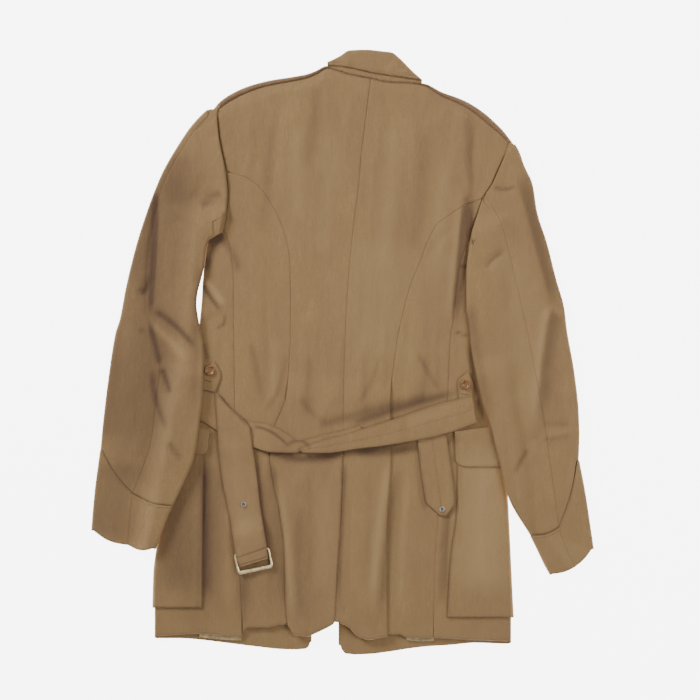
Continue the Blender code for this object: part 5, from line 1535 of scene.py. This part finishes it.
def solid(name, verts, faces, dress, replaced=(), smooth=True):
    """A hard or sewn-on piece from its points in millimetres."""
    mesh = bpy.data.meshes.new(name)
    mesh.from_pydata([tuple(float(v) * MM for v in point) for point in verts], [], faces)
    bm = bmesh.new()
    bm.from_mesh(mesh)
    bmesh.ops.recalc_face_normals(bm, faces=bm.faces)
    bm.to_mesh(mesh)
    bm.free()
    if smooth:
        mesh.shade_smooth()
    mesh.materials.append(finish(dress))
    obj = bpy.data.objects.new(name, mesh)
    bpy.context.scene.collection.objects.link(obj)
    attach(obj, "root")
    if replaced:
        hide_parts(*replaced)
    return obj


def make_backs():
    """Both halves of the back, sewn down the middle and open below as a vent."""
    sizes = bpy.context.scene.jacket_sizes
    wall, depth = sizes.wall / MM, sizes.seam_depth / MM
    for side, name in ((-1, "left"), (1, "right")):
        grid = back_grid(side, 200, 68)
        outer, middle = ("left", "right") if side < 0 else ("right", "left")
        sewn, closed = grid.up > SEAM_FOOT, grid.up > VENT_HEAD
        if side < 0:
            over = ramp(VENT_HEAD - grid.up, 0, 26) * np.exp(-(grid.edge_gap(middle) / 16) ** 2)
            grid.level += 1.1 * over
        head = SEAM_HEAD_LEFT if side < 0 else SEAM_HEAD_RIGHT
        grid.sew(outer, 0.45 * depth, 1.1, 0.2, 0.3, sewn & (grid.up < head))
        grid.sew(outer, 0.5 * depth, 1.2, 0.3, 0.3, grid.up >= head)
        grid.roll(outer, 0.8, 2.4, 0.2, ~sewn)
        grid.sew(middle, 0.4 * depth, 1.1, 0.2, 0.25, closed)
        grid.roll(middle, 0.7, 2.2, 0.35, ~closed)
        grid.sew("top", 0.8 * depth, 1.5, 0.3, 0.7)
        grid.roll("bottom", 1.2, 2.4, 0.3)
        shell("worn_back_" + name, [grid], wall, "cloth", replaced=["back_" + name], flat=(0.25, 0.83),
              tones=BODY_PAINTED_SHADE_AND_HIGHLIGHT)


def make_side_backs():
    """Side backs, from the side seams to the curved back seams and under the skirt."""
    sizes = bpy.context.scene.jacket_sizes
    wall, depth = sizes.wall / MM, sizes.seam_depth / MM
    for side, name in ((-1, "left"), (1, "right")):
        grid = side_back_grid(side, 170, 48)
        inner, outer = ("right", "left") if side < 0 else ("left", "right")
        grid.sew(inner, 0.45 * depth, 1.1, 0.2, 0.3, grid.up > SEAM_FOOT)
        grid.sew(outer, 0.5 * depth, 1.2, 0.25, 0.3 - 0.2 * ramp(-grid.up, 120, 160))
        grid.sew("top", 0.45 * depth, 1.1, 0.1, 0.3)
        grid.roll("bottom", 1.2, 2.4, 0.3)
        shell("worn_side_back_" + name, [grid], wall, "cloth", replaced=["side_back_" + name],
              flat=(0.14, 0.68), tones=BODY_PAINTED_SHADE_AND_HIGHLIGHT)


def make_fronts():
    """Fronts: flat on the table, round the side and up to the side seam."""
    sizes = bpy.context.scene.jacket_sizes
    wall, depth = sizes.wall / MM, sizes.seam_depth / MM
    for side, name in ((-1, "left"), (1, "right")):
        wrap, chest = front_grids(side, 130)
        wrap.sew("right" if side < 0 else "left", 0.5 * depth, 1.2, 0.25,
                 0.3 - 0.2 * ramp(-wrap.up, 120, 160), wrap.on_top)
        shell("worn_front_" + name, [wrap, chest], wall, "cloth", replaced=["front_" + name],
              flat=(0.34, 0.84), tones=BODY_PAINTED_SHADE_AND_HIGHLIGHT)


def make_linings():
    """Lining that shows where the hem has come undone."""
    for name, rows_table in (("left", LINING_LEFT), ("right", LINING_RIGHT)):
        t = np.linspace(0, 1, 60)
        x, top, low = (along(rows_table, key)(t) for key in ("x", "top", "low"))
        torn = np.array([noise.noise(Vector((value / 3.0, 0, 4.0))) for value in x])
        share = crowded(16)[:, None]
        up = low + 0.9 * np.abs(torn) * 1.6 + (top - low) * share
        grid = Grid(x + 0 * up, up, CLOTH + LAY_GAP + 1.0)
        grid.level += 0.35 * unrest(grid.x, grid.up, 4.0, 9.0, 7.1)
        shell("worn_lining_" + name, [grid], 0.7, "lining", replaced=["lining_" + name],
              flat=(0.07, 0.05))


def make_sleeves():
    """Top sleeves and under sleeves, folded flat at the sides."""
    sizes = bpy.context.scene.jacket_sizes
    wall, depth = sizes.wall / MM, sizes.seam_depth / MM
    tables = {(-1, "under"): UNDER_SLEEVE_LEFT, (-1, "top"): TOP_SLEEVE_LEFT,
              (1, "under"): UNDER_SLEEVE_RIGHT, (1, "top"): TOP_SLEEVE_RIGHT}
    for (side, kind), rows_table in tables.items():
        name = "%s_sleeve_%s" % (kind, "left" if side < 0 else "right")
        grid = sleeve_grid(side, kind, rows_table, 130)
        hind = "left" if SLEEVE_LINES[(side, kind)]["inward"] > 0 else "right"
        grid.sew(hind, 0.4 * depth, 1.1, 0.2, 0.22, grid.on_top)
        grid.sew("bottom", 0.7 * depth, 1.2, 0.25, 0.4, grid.on_top)
        grid.sew("top", 0.6 * depth, 1.3, 0.45, 0.25, grid.on_top)
        for values in (grid.x, grid.up):
            values[0] += 0.55 * (values[0] - values[1])
        flat = (0.21, 0.58) if kind == "under" else (0.25, 0.62)
        shell("worn_" + name, [grid], wall, "cloth", replaced=[name],
              flat=flat,
              tones=SLEEVE_PAINTED_SHADE_AND_HIGHLIGHT)
    for side, name, feet, high in ((-1, "left", (176.0, 152.0), 351.0), (1, "right", (150.0, 146.0), 302.0)):
        grid = allowance_grid(side, feet, high)
        shell("sleeve_head_allowance_" + name, [grid], 0.8, "cloth", flat=(0.06, 0.21),
              tones=SLEEVE_PAINTED_SHADE_AND_HIGHLIGHT)


def make_cuffs():
    """Cuffs round the ends of the sleeves."""
    sizes = bpy.context.scene.jacket_sizes
    for side, name, rows_table in ((-1, "left", CUFF_LEFT), (1, "right", CUFF_RIGHT)):
        grid = cuff_grid(side, rows_table, 34)
        for edge in ("left", "right"):
            grid.sew(edge, 0.2, 1.0, 0.05, 0.3)
        grid.roll("top", 0.4, 1.2, 0.15, grid.on_top)
        grid.groove("top", 3.2, 0.3, 0.8, 0.3, grid.on_top)
        grid.roll("bottom", 1.0, 2.2, 0.25, grid.on_top)
        shell("worn_cuff_" + name, [grid], sizes.wall / MM, "cloth_slant", replaced=["cuff_" + name],
              flat=(0.28, 0.10), tones=SLEEVE_PAINTED_SHADE_AND_HIGHLIGHT)
        paths = grid.path("top", 2.6, lambda x, up: True)
        top_only = [[point for point in path if point[2] > 5.5] for path in paths]
        sew_paths("cuff_stitches_" + name, [path for path in top_only if len(path) > 2] or paths)


def make_collar():
    """Collar: the fall, the frayed neck band under it, and the loose ends of thread."""
    fall, stand = collar_grids(150)
    fall.roll("left", 0.9, 1.8, 0.35)
    fall.groove("left", 5.0, 0.25, 0.8, 0.2)
    stand.seam = 0.55 * np.exp(-((stand.edge_gap("left") - 4.4) / 1.1) ** 2)
    shell("worn_collar_fall", [fall], 1.3, "cloth", replaced=["collar_fall"], flat=(0.15, 0.08))
    shell("worn_collar_stand", [stand], 1.2, "cloth_slant", replaced=["collar_stand"], flat=(0.15, 0.03))
    sew_paths("collar_stitches", fall.path("left", 5.0))
    sew_paths("neck_band_fray", stand.path("left", 4.6, lift=0.5), "thread", 0.0052, 0.00028, 0.0017, 0.75)
    near = stand.path("left", 4.2, lambda x, up: 48 < x < 72, 0.7)
    sew_paths("neck_band_loose_ends", near, "lining", 0.0058, 0.0003, 0.0011, 1.1)


def make_straps():
    """Shoulder straps, whose rims show beyond the shoulder seams."""
    straps = (("left", STRAP_LEFT, -0.02, 1.08), ("right", STRAP_RIGHT, -0.14, 1.05))
    for name, rows_table, start, end in straps:
        grid = strap_grid(rows_table, 130, top_line, start, end)
        grid.sew("left", 0.6, 1.0, 0.2, 0.9)
        grid.level += 0.3 * unrest(grid.x, grid.up, 12.0, 6.0, 4.4)
        shell("worn_shoulder_strap_" + name, [grid], 1.2, "cloth_shaded",
              replaced=["shoulder_strap_" + name], flat=(0.17, 0.015),
              tones=STRAP_TONES)


def make_pockets():
    """Bellows pockets with pleats, and their pointed flaps."""
    sizes = bpy.context.scene.jacket_sizes
    offset = LAY_GAP + POCKET_BELLOWS + CLOTH
    for side, name, edges, low in ((-1, "left", POCKET_LEFT, -370), (1, "right", POCKET_RIGHT, -384)):
        inner = "right" if side < 0 else "left"
        up = low + (-137 - low) * crowded(70)
        grid = skin_grid(side, up, line_of(edges, "up", "x")(up), offset, 26)
        held = np.clip((grid.level - 3) / 2, 0, 1)
        for edge, mark in ((inner, 0.55), ("bottom", 0.5), ("top", 0.2)):
            grid.roll(edge, 1.1, 2.2, mark, held)
        grid.groove(inner, 6.5, 0.3, 0.9, 0.2, held)
        shell("worn_pocket_" + name, [grid], sizes.wall / MM, "cloth", replaced=["pocket_" + name],
              flat=(0.09, 0.24), tones=BODY_PAINTED_SHADE_AND_HIGHLIGHT)
        sew_paths("pocket_stitches_" + name, grid.path(inner, 2.4))
    offset += LAY_GAP + TAB
    for side, name, edges, steep in ((-1, "left", FLAP_LEFT, 1.0), (1, "right", FLAP_RIGHT, 0.4)):
        inner = "right" if side < 0 else "left"
        share = crowded(44)
        up = edges[0]["up"] + (edges[-1]["up"] - edges[0]["up"]) * share
        inner_x = line_of(edges, "up", "x")(up)
        grid = skin_grid(side, up, inner_x, offset, 26)
        grid.up += FLAP_SLOPE * np.abs(grid.x - inner_x[:, None]) * share[:, None] * steep
        held = np.clip((grid.level - 3) / 2, 0, 1)
        for edge in (inner, "bottom"):
            grid.roll(edge, 0.8, 2.0, 0.35, held)
            grid.groove(edge, 4.0, 0.3, 0.8, 0.3, held)
        shell("worn_pocket_flap_" + name, [grid], sizes.tab_wall / MM, "cloth_slant",
              replaced=["pocket_flap_" + name], flat=(0.08, 0.06),
              tones=BODY_PAINTED_SHADE_AND_HIGHLIGHT)
        above = [[p for p in path if p[2] > 5] for path in grid.path(inner, 4.0) + grid.path("bottom", 4.0)]
        sew_paths("flap_stitches_" + name, [path for path in above if len(path) > 2])


def make_belt():
    """The cloth belt in its five stretches, with its rows of stitching."""
    sizes = bpy.context.scene.jacket_sizes
    stretches = (
        ("belt_side", BELT_SIDE, 40, (0.05, 0.06), "worn_front_left"),
        ("belt_left", BELT_LEFT, 120, (0.05, 0.20), "worn_back_left"),
        ("belt_right", BELT_RIGHT, 130, (0.05, 0.28), "worn_back_right"),
        ("belt_tip", BELT_TIP, 90, (0.05, 0.15), "worn_side_back_right"),
        ("belt_buckle_end", BELT_BUCKLE_END, 150, (0.05, 0.27), "worn_side_back_left"))
    for name, rows_table, rows, flat, below in stretches:
        grid = strip_grid(rows_table, BELT, rows, 31)
        for edge in ("left", "right"):
            grid.roll(edge, 0.9, 1.6, 0.5)
            grid.groove(edge, 2.6, 0.3, 0.8, 0.22)
        if name == "belt_tip":
            grid.roll("top", 0.9, 1.8, 0.3)
        if name == "belt_buckle_end":
            for height, slope in ((-290.5, 0.357), (-303.3, 0.315)):
                line = np.exp(-((grid.up - height - slope * (grid.x + 135)) / 1.0) ** 2)
                grid.level -= 0.5 * line
                grid.seam = np.maximum(grid.seam, 0.7 * line)
        middle = grid.x.shape[1] // 2
        rows_of_stitches = grid.path("left", 2.6) + grid.path("right", 2.6)
        if name in ("belt_right", "belt_tip"):
            reach = grid.edge_gap("left")
            line = np.exp(-((reach - reach[:, middle:middle + 1]) / 0.9) ** 2)
            grid.level -= 0.25 * line
            grid.seam = np.maximum(grid.seam, 0.25 * line)
            rows_of_stitches.append(
                list(zip(grid.x[:, middle], grid.up[:, middle], grid.level[:, middle] + 0.15)))
        shell("worn_" + name, [grid], sizes.belt_wall / MM, "cloth_belt", replaced=[name], flat=flat,
              tones=BELT_PAINTED_SHADE_AND_HIGHLIGHT)
        sew_paths(name + "_stitches", rows_of_stitches)


def make_tabs():
    """Pointed tabs at the waist with their buttonholes."""
    sizes = bpy.context.scene.jacket_sizes
    for name, rows_table, hole in (("left", TAB_LEFT, ((-197.5, -41.0), (-190.0, -43.2))),
                                   ("right", TAB_RIGHT, ((172.5, -60.4), (180.8, -61.6)))):
        grid = strip_grid(rows_table, TAB, 50, 31)
        for edge in ("left", "right", "bottom"):
            grid.roll(edge, 0.7, 1.5, 0.4)
        for edge in ("left", "right"):
            grid.groove(edge, 2.4, 0.25, 0.7, 0.25)
        shell("worn_tab_" + name, [grid], sizes.tab_wall / MM, "cloth_belt", replaced=["tab_" + name],
              flat=(0.026, 0.045))
        sew_paths("tab_stitches_" + name, grid.path("left", 2.4) + grid.path("right", 2.4))
        (x1, up1), (x2, up2) = hole
        level = float(cover_top(np.array(x1), np.array(up1))) + STRIP_GAP + TAB + 0.1
        slit = [[(x1 + (x2 - x1) * t, up1 + (up2 - up1) * t, level) for t in (0, 0.5, 1)]]
        sew_paths("buttonhole_" + name, slit, "dark_thread_and_eyelet_shade", 0.0016, 0.0013, 0.0009)


def make_buttons():
    """Four-hole horn buttons with their thread."""
    for name, (x, up) in (("left", BUTTON_LEFT), ("right", BUTTON_RIGHT)):
        level = float(cover_top(np.array(x), np.array(up))) + STRIP_GAP + TAB + LAY_GAP
        r, h = BUTTON_RADIUS, BUTTON_HEIGHT
        turns = 64
        verts = [(x, up, level + BUTTON_PROFILE[0][1] * h)]
        for out, high in BUTTON_PROFILE[1:-1]:
            for k in range(turns):
                angle = 2 * math.pi * k / turns
                across, along_up = r * out * math.cos(angle), r * out * math.sin(angle)
                verts.append((x + across, up + along_up, level + high * h))
        verts.append((x, up, level))
        faces, last = [], len(verts) - 1
        for k in range(turns):
            after = (k + 1) % turns
            faces.append((0, 1 + k, 1 + after))
            for ring in range(len(BUTTON_PROFILE) - 3):
                a, b = 1 + ring * turns, 1 + (ring + 1) * turns
                faces.append((a + k, b + k, b + after, a + after))
            end = 1 + (len(BUTTON_PROFILE) - 3) * turns
            faces.append((last, end + after, end + k))
        mesh = bpy.data.meshes.new("blank")
        mesh.from_pydata([tuple(v * MM for v in point) for point in verts], [], faces)
        bm = bmesh.new()
        bm.from_mesh(mesh)
        bmesh.ops.recalc_face_normals(bm, faces=bm.faces)
        bm.to_mesh(mesh)
        bm.free()
        blank = bpy.data.objects.new("blank", mesh)
        bpy.context.scene.collection.objects.link(blank)
        drills, threads = [], []
        for k in range(4):
            angle = math.pi / 4 + k * math.pi / 2 + (0.3 if name == "left" else -0.2)
            hx, hup = x + 1.75 * math.cos(angle), up + 1.75 * math.sin(angle)
            threads.append((hx, hup, level + 0.5 * h))
            drill_mesh = bpy.data.meshes.new("drill")
            bm = bmesh.new()
            bmesh.ops.create_cone(bm, cap_ends=True, segments=18, radius1=0.85 * MM, radius2=0.85 * MM,
                                  depth=3 * h * MM)
            bmesh.ops.translate(bm, verts=bm.verts, vec=(hx * MM, hup * MM, (level + h / 2) * MM))
            bm.to_mesh(drill_mesh)
            bm.free()
            drill = bpy.data.objects.new("drill", drill_mesh)
            bpy.context.scene.collection.objects.link(drill)
            cut = blank.modifiers.new("hole", "BOOLEAN")
            cut.object = drill
            cut.solver = "EXACT"
            drills.append(drill)
        bpy.context.view_layer.update()
        drilled = bpy.data.meshes.new_from_object(
            blank.evaluated_get(bpy.context.evaluated_depsgraph_get()))
        drilled.name = "horn_button_" + name
        for obj in [blank] + drills:
            bpy.data.objects.remove(obj, do_unlink=True)
        drilled.materials.clear()
        drilled.materials.append(finish("horn"))
        drilled.shade_smooth()
        button = bpy.data.objects.new("horn_button_" + name, drilled)
        bpy.context.scene.collection.objects.link(button)
        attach(button, "root")
        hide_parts("button_" + name)
        pairs = [[threads[0], threads[1]], [threads[2], threads[3]]]
        lines = [[tuple(a + (b - a) * t for a, b in zip(*pair)) for t in (0, 0.5, 1)] for pair in pairs]
        sew_paths("button_thread_" + name, lines, "thread", 0.0016, 0.0008, 0.0009)


def make_buckle():
    """Gilt buckle frame with a broad outer bar, and the steel eyelets of the belt."""
    ux, uy = math.cos(BUCKLE_TURN), math.sin(BUCKLE_TURN)
    half, depth, corner = BUCKLE_LENGTH / 2, BUCKLE_DEPTH, 4.0
    foot_x, foot_up = BUCKLE_FOOT
    ends = [(-half, 0), (half, 0), (half, depth), (-half, depth)]
    level = max(float(cover_top(np.array(foot_x + a * ux - d * uy), np.array(foot_up + a * uy + d * ux)))
                for a, d in ends) + LAY_GAP + BUCKLE_BAR / 2
    centres = [(-half + corner, corner, 180), (half - corner, corner, 270),
               (half - corner, depth - corner, 0), (-half + corner, depth - corner, 90)]
    plan = []
    for i, (a, d, start) in enumerate(centres):
        for k in range(9):
            angle = math.radians(start + 90 * k / 8)
            plan.append((a + corner * math.cos(angle), d + corner * math.sin(angle)))
        after = centres[(i + 1) % 4]
        last = plan[-1]
        angle = math.radians(after[2])
        first = (after[0] + corner * math.cos(angle), after[1] + corner * math.sin(angle))
        plan += [(last[0] + (first[0] - last[0]) * t, last[1] + (first[1] - last[1]) * t)
                 for t in (0.2, 0.4, 0.6, 0.8)]
    verts, faces, ring = [], [], 14
    count = len(plan)
    for i, (a, d) in enumerate(plan):
        before, after = plan[i - 1], plan[(i + 1) % count]
        length = math.hypot(after[0] - before[0], after[1] - before[1])
        out_a, out_d = (after[1] - before[1]) / length, -(after[0] - before[0]) / length
        broad = 1.8 + 1.1 * (1 - min(1, max(0, d / 5)))
        for k in range(ring):
            angle = 2 * math.pi * k / ring
            bulge = abs(math.cos(angle)) ** 0.7 * (1 if math.cos(angle) >= 0 else -1)
            shift = broad * bulge
            pa, pd = a + out_a * shift, d + out_d * shift
            if d < 5:
                pd += 0.85
            verts.append((foot_x + pa * ux - pd * uy, foot_up + pa * uy + pd * ux,
                          level + BUCKLE_BAR / 2 * math.sin(angle)))
    for i in range(count):
        for k in range(ring):
            faces.append((i * ring + k, i * ring + (k + 1) % ring,
                          ((i + 1) % count) * ring + (k + 1) % ring, ((i + 1) % count) * ring + k))
    solid("gilt_buckle", verts, faces, "brass", ["buckle_frame"])
    for name, (x, up, lift) in (("eyelet_buckle_end", EYELET_BUCKLE_END), ("eyelet_tip", EYELET_TIP)):
        eyelet = next(obj for obj in bpy.data.objects if obj.name == name)
        for socket in eyelet.material_slots:
            socket.material = finish("steel")
        # Each eyelet gets a dark disc in its hole: painted shade where the hole lies in shadow
        level = float(cover_top(np.array(x), np.array(up))) + STRIP_GAP + BELT + lift * BELT_STEP + LAY_GAP
        turns = 28
        top = [(x + EYELET_HOLE * math.cos(2 * math.pi * k / turns),
                up + EYELET_HOLE * math.sin(2 * math.pi * k / turns)) for k in range(turns)]
        verts = [(px, pup, level + z) for z in (-0.25, 0.15) for px, pup in top]
        faces = [tuple(range(turns)), tuple(range(turns, 2 * turns))]
        faces += [(k, (k + 1) % turns, turns + (k + 1) % turns, turns + k) for k in range(turns)]
        solid(name + "_hole", verts, faces, "dark_thread_and_eyelet_shade", smooth=False)


def set_stage():
    """Camera square above the jacket, pale floor and soft light from the upper left."""
    scene = bpy.context.scene
    lens = bpy.data.cameras.new("camera")
    lens.lens = scene.jacket_sizes.lens
    lens.sensor_width = 36
    camera = bpy.data.objects.new("camera", lens)
    camera.location = (0.0107, 0.0028, 2.397)
    scene.collection.objects.link(camera)
    scene.camera = camera
    mesh = bpy.data.meshes.new("floor")
    reach = 3.0
    mesh.from_pydata([(-reach, -reach, -0.0005), (reach, -reach, -0.0005), (reach, reach, -0.0005),
                      (-reach, reach, -0.0005)], [], [(0, 1, 2, 3)])
    floor = bpy.data.objects.new("floor", mesh)
    scene.collection.objects.link(floor)
    paper = bpy.data.materials.new("pale_paper")
    paper.use_nodes = True
    tree = paper.node_tree
    shader = tree.nodes["Principled BSDF"]
    place = tree.nodes.new("ShaderNodeTexCoord").outputs["Object"]
    share = span_of(tree, noise_of(tree, place, 0.4, 2.0), 0.3, 0.7)
    tone = blend_of(tree, share, (0.93, 0.93, 0.93, 1), (0.96, 0.96, 0.96, 1))
    tree.links.new(tone, shader.inputs["Base Color"])
    shader.inputs["Roughness"].default_value = 0.9
    shader.inputs["Emission Color"].default_value = (1, 1, 1, 1)
    shader.inputs["Emission Strength"].default_value = PAPER_GLOW
    mesh.materials.append(paper)
    world = bpy.data.worlds.new("studio")
    scene.world = world
    world.use_nodes = True
    sky = world.node_tree.nodes["Background"]
    sky.inputs["Color"].default_value = (1, 1, 1, 1)
    sky.inputs["Strength"].default_value = SKY_STRENGTH
    for name, place, size, power in LAMPS:
        lamp = bpy.data.lights.new(name, "AREA")
        lamp.shape = "DISK"
        lamp.size = size
        lamp.energy = power
        holder = bpy.data.objects.new(name, lamp)
        holder.location = place
        holder.rotation_euler = (Vector((0, 0, 0)) - Vector(place)).to_track_quat("-Z", "Y").to_euler()
        scene.collection.objects.link(holder)


class JACKET_OT_stage(bpy.types.Operator):
    """Camera, pale floor and soft light"""

    bl_idname = "jacket.stage"
    bl_label = "Stage"

    def execute(self, context):
        set_stage()
        return {"FINISHED"}


class JACKET_OT_body(bpy.types.Operator):
    """Fronts, side backs, back and the lining at the hem"""

    bl_idname = "jacket.body"
    bl_label = "Body"

    def execute(self, context):
        make_fronts()
        make_side_backs()
        make_backs()
        make_linings()
        return {"FINISHED"}


class JACKET_OT_sleeves(bpy.types.Operator):
    """Top sleeves, under sleeves and cuffs"""

    bl_idname = "jacket.sleeves"
    bl_label = "Sleeves"

    def execute(self, context):
        make_sleeves()
        make_cuffs()
        return {"FINISHED"}


class JACKET_OT_collar(bpy.types.Operator):
    """Collar fall, neck band and shoulder straps"""

    bl_idname = "jacket.collar"
    bl_label = "Collar and straps"

    def execute(self, context):
        make_collar()
        make_straps()
        return {"FINISHED"}


class JACKET_OT_pockets(bpy.types.Operator):
    """Bellows pockets and their flaps"""

    bl_idname = "jacket.pockets"
    bl_label = "Pockets"

    def execute(self, context):
        make_pockets()
        return {"FINISHED"}


class JACKET_OT_belt(bpy.types.Operator):
    """Cloth belt in its five stretches"""

    bl_idname = "jacket.belt"
    bl_label = "Belt"

    def execute(self, context):
        make_belt()
        return {"FINISHED"}


class JACKET_OT_tabs(bpy.types.Operator):
    """Pointed waist tabs with their buttonholes and horn buttons"""

    bl_idname = "jacket.tabs"
    bl_label = "Tabs and buttons"

    def execute(self, context):
        make_tabs()
        make_buttons()
        return {"FINISHED"}


class JACKET_OT_buckle(bpy.types.Operator):
    """Gilt buckle frame and the belt's steel eyelets"""

    bl_idname = "jacket.buckle"
    bl_label = "Buckle and eyelets"

    def execute(self, context):
        make_buckle()
        return {"FINISHED"}


OPERATORS = (
    JACKET_OT_stage, JACKET_OT_body, JACKET_OT_sleeves, JACKET_OT_collar, JACKET_OT_pockets,
    JACKET_OT_belt, JACKET_OT_tabs, JACKET_OT_buckle)


class JACKET_PT_panel(bpy.types.Panel):
    """Sizes, colours and pieces of the jacket"""

    bl_idname = "JACKET_PT_panel"
    bl_label = "Service jacket"
    bl_space_type = "VIEW_3D"
    bl_region_type = "UI"
    bl_category = "Jacket"

    def draw(self, context):
        column = self.layout.column(align=True)
        for kind in OPERATORS:
            column.operator(kind.bl_idname)
        for group in (context.scene.jacket_sizes, context.scene.jacket_finish):
            box = self.layout.box()
            for name in group.bl_rna.properties.keys():
                if name not in ("rna_type", "name"):
                    box.prop(group, name)


CLASSES = (JacketFinish, JacketSizes) + OPERATORS + (JACKET_PT_panel,)


def register():
    for kind in CLASSES:
        bpy.utils.register_class(kind)
    bpy.types.Scene.jacket_finish = bpy.props.PointerProperty(type=JacketFinish)
    bpy.types.Scene.jacket_sizes = bpy.props.PointerProperty(type=JacketSizes)


def unregister():
    del bpy.types.Scene.jacket_sizes
    del bpy.types.Scene.jacket_finish
    for kind in reversed(CLASSES):
        bpy.utils.unregister_class(kind)


def main():
    register()
    for kind in OPERATORS:
        group, name = kind.bl_idname.split(".")
        getattr(getattr(bpy.ops, group), name)()


if __name__ == "__main__":
    main()
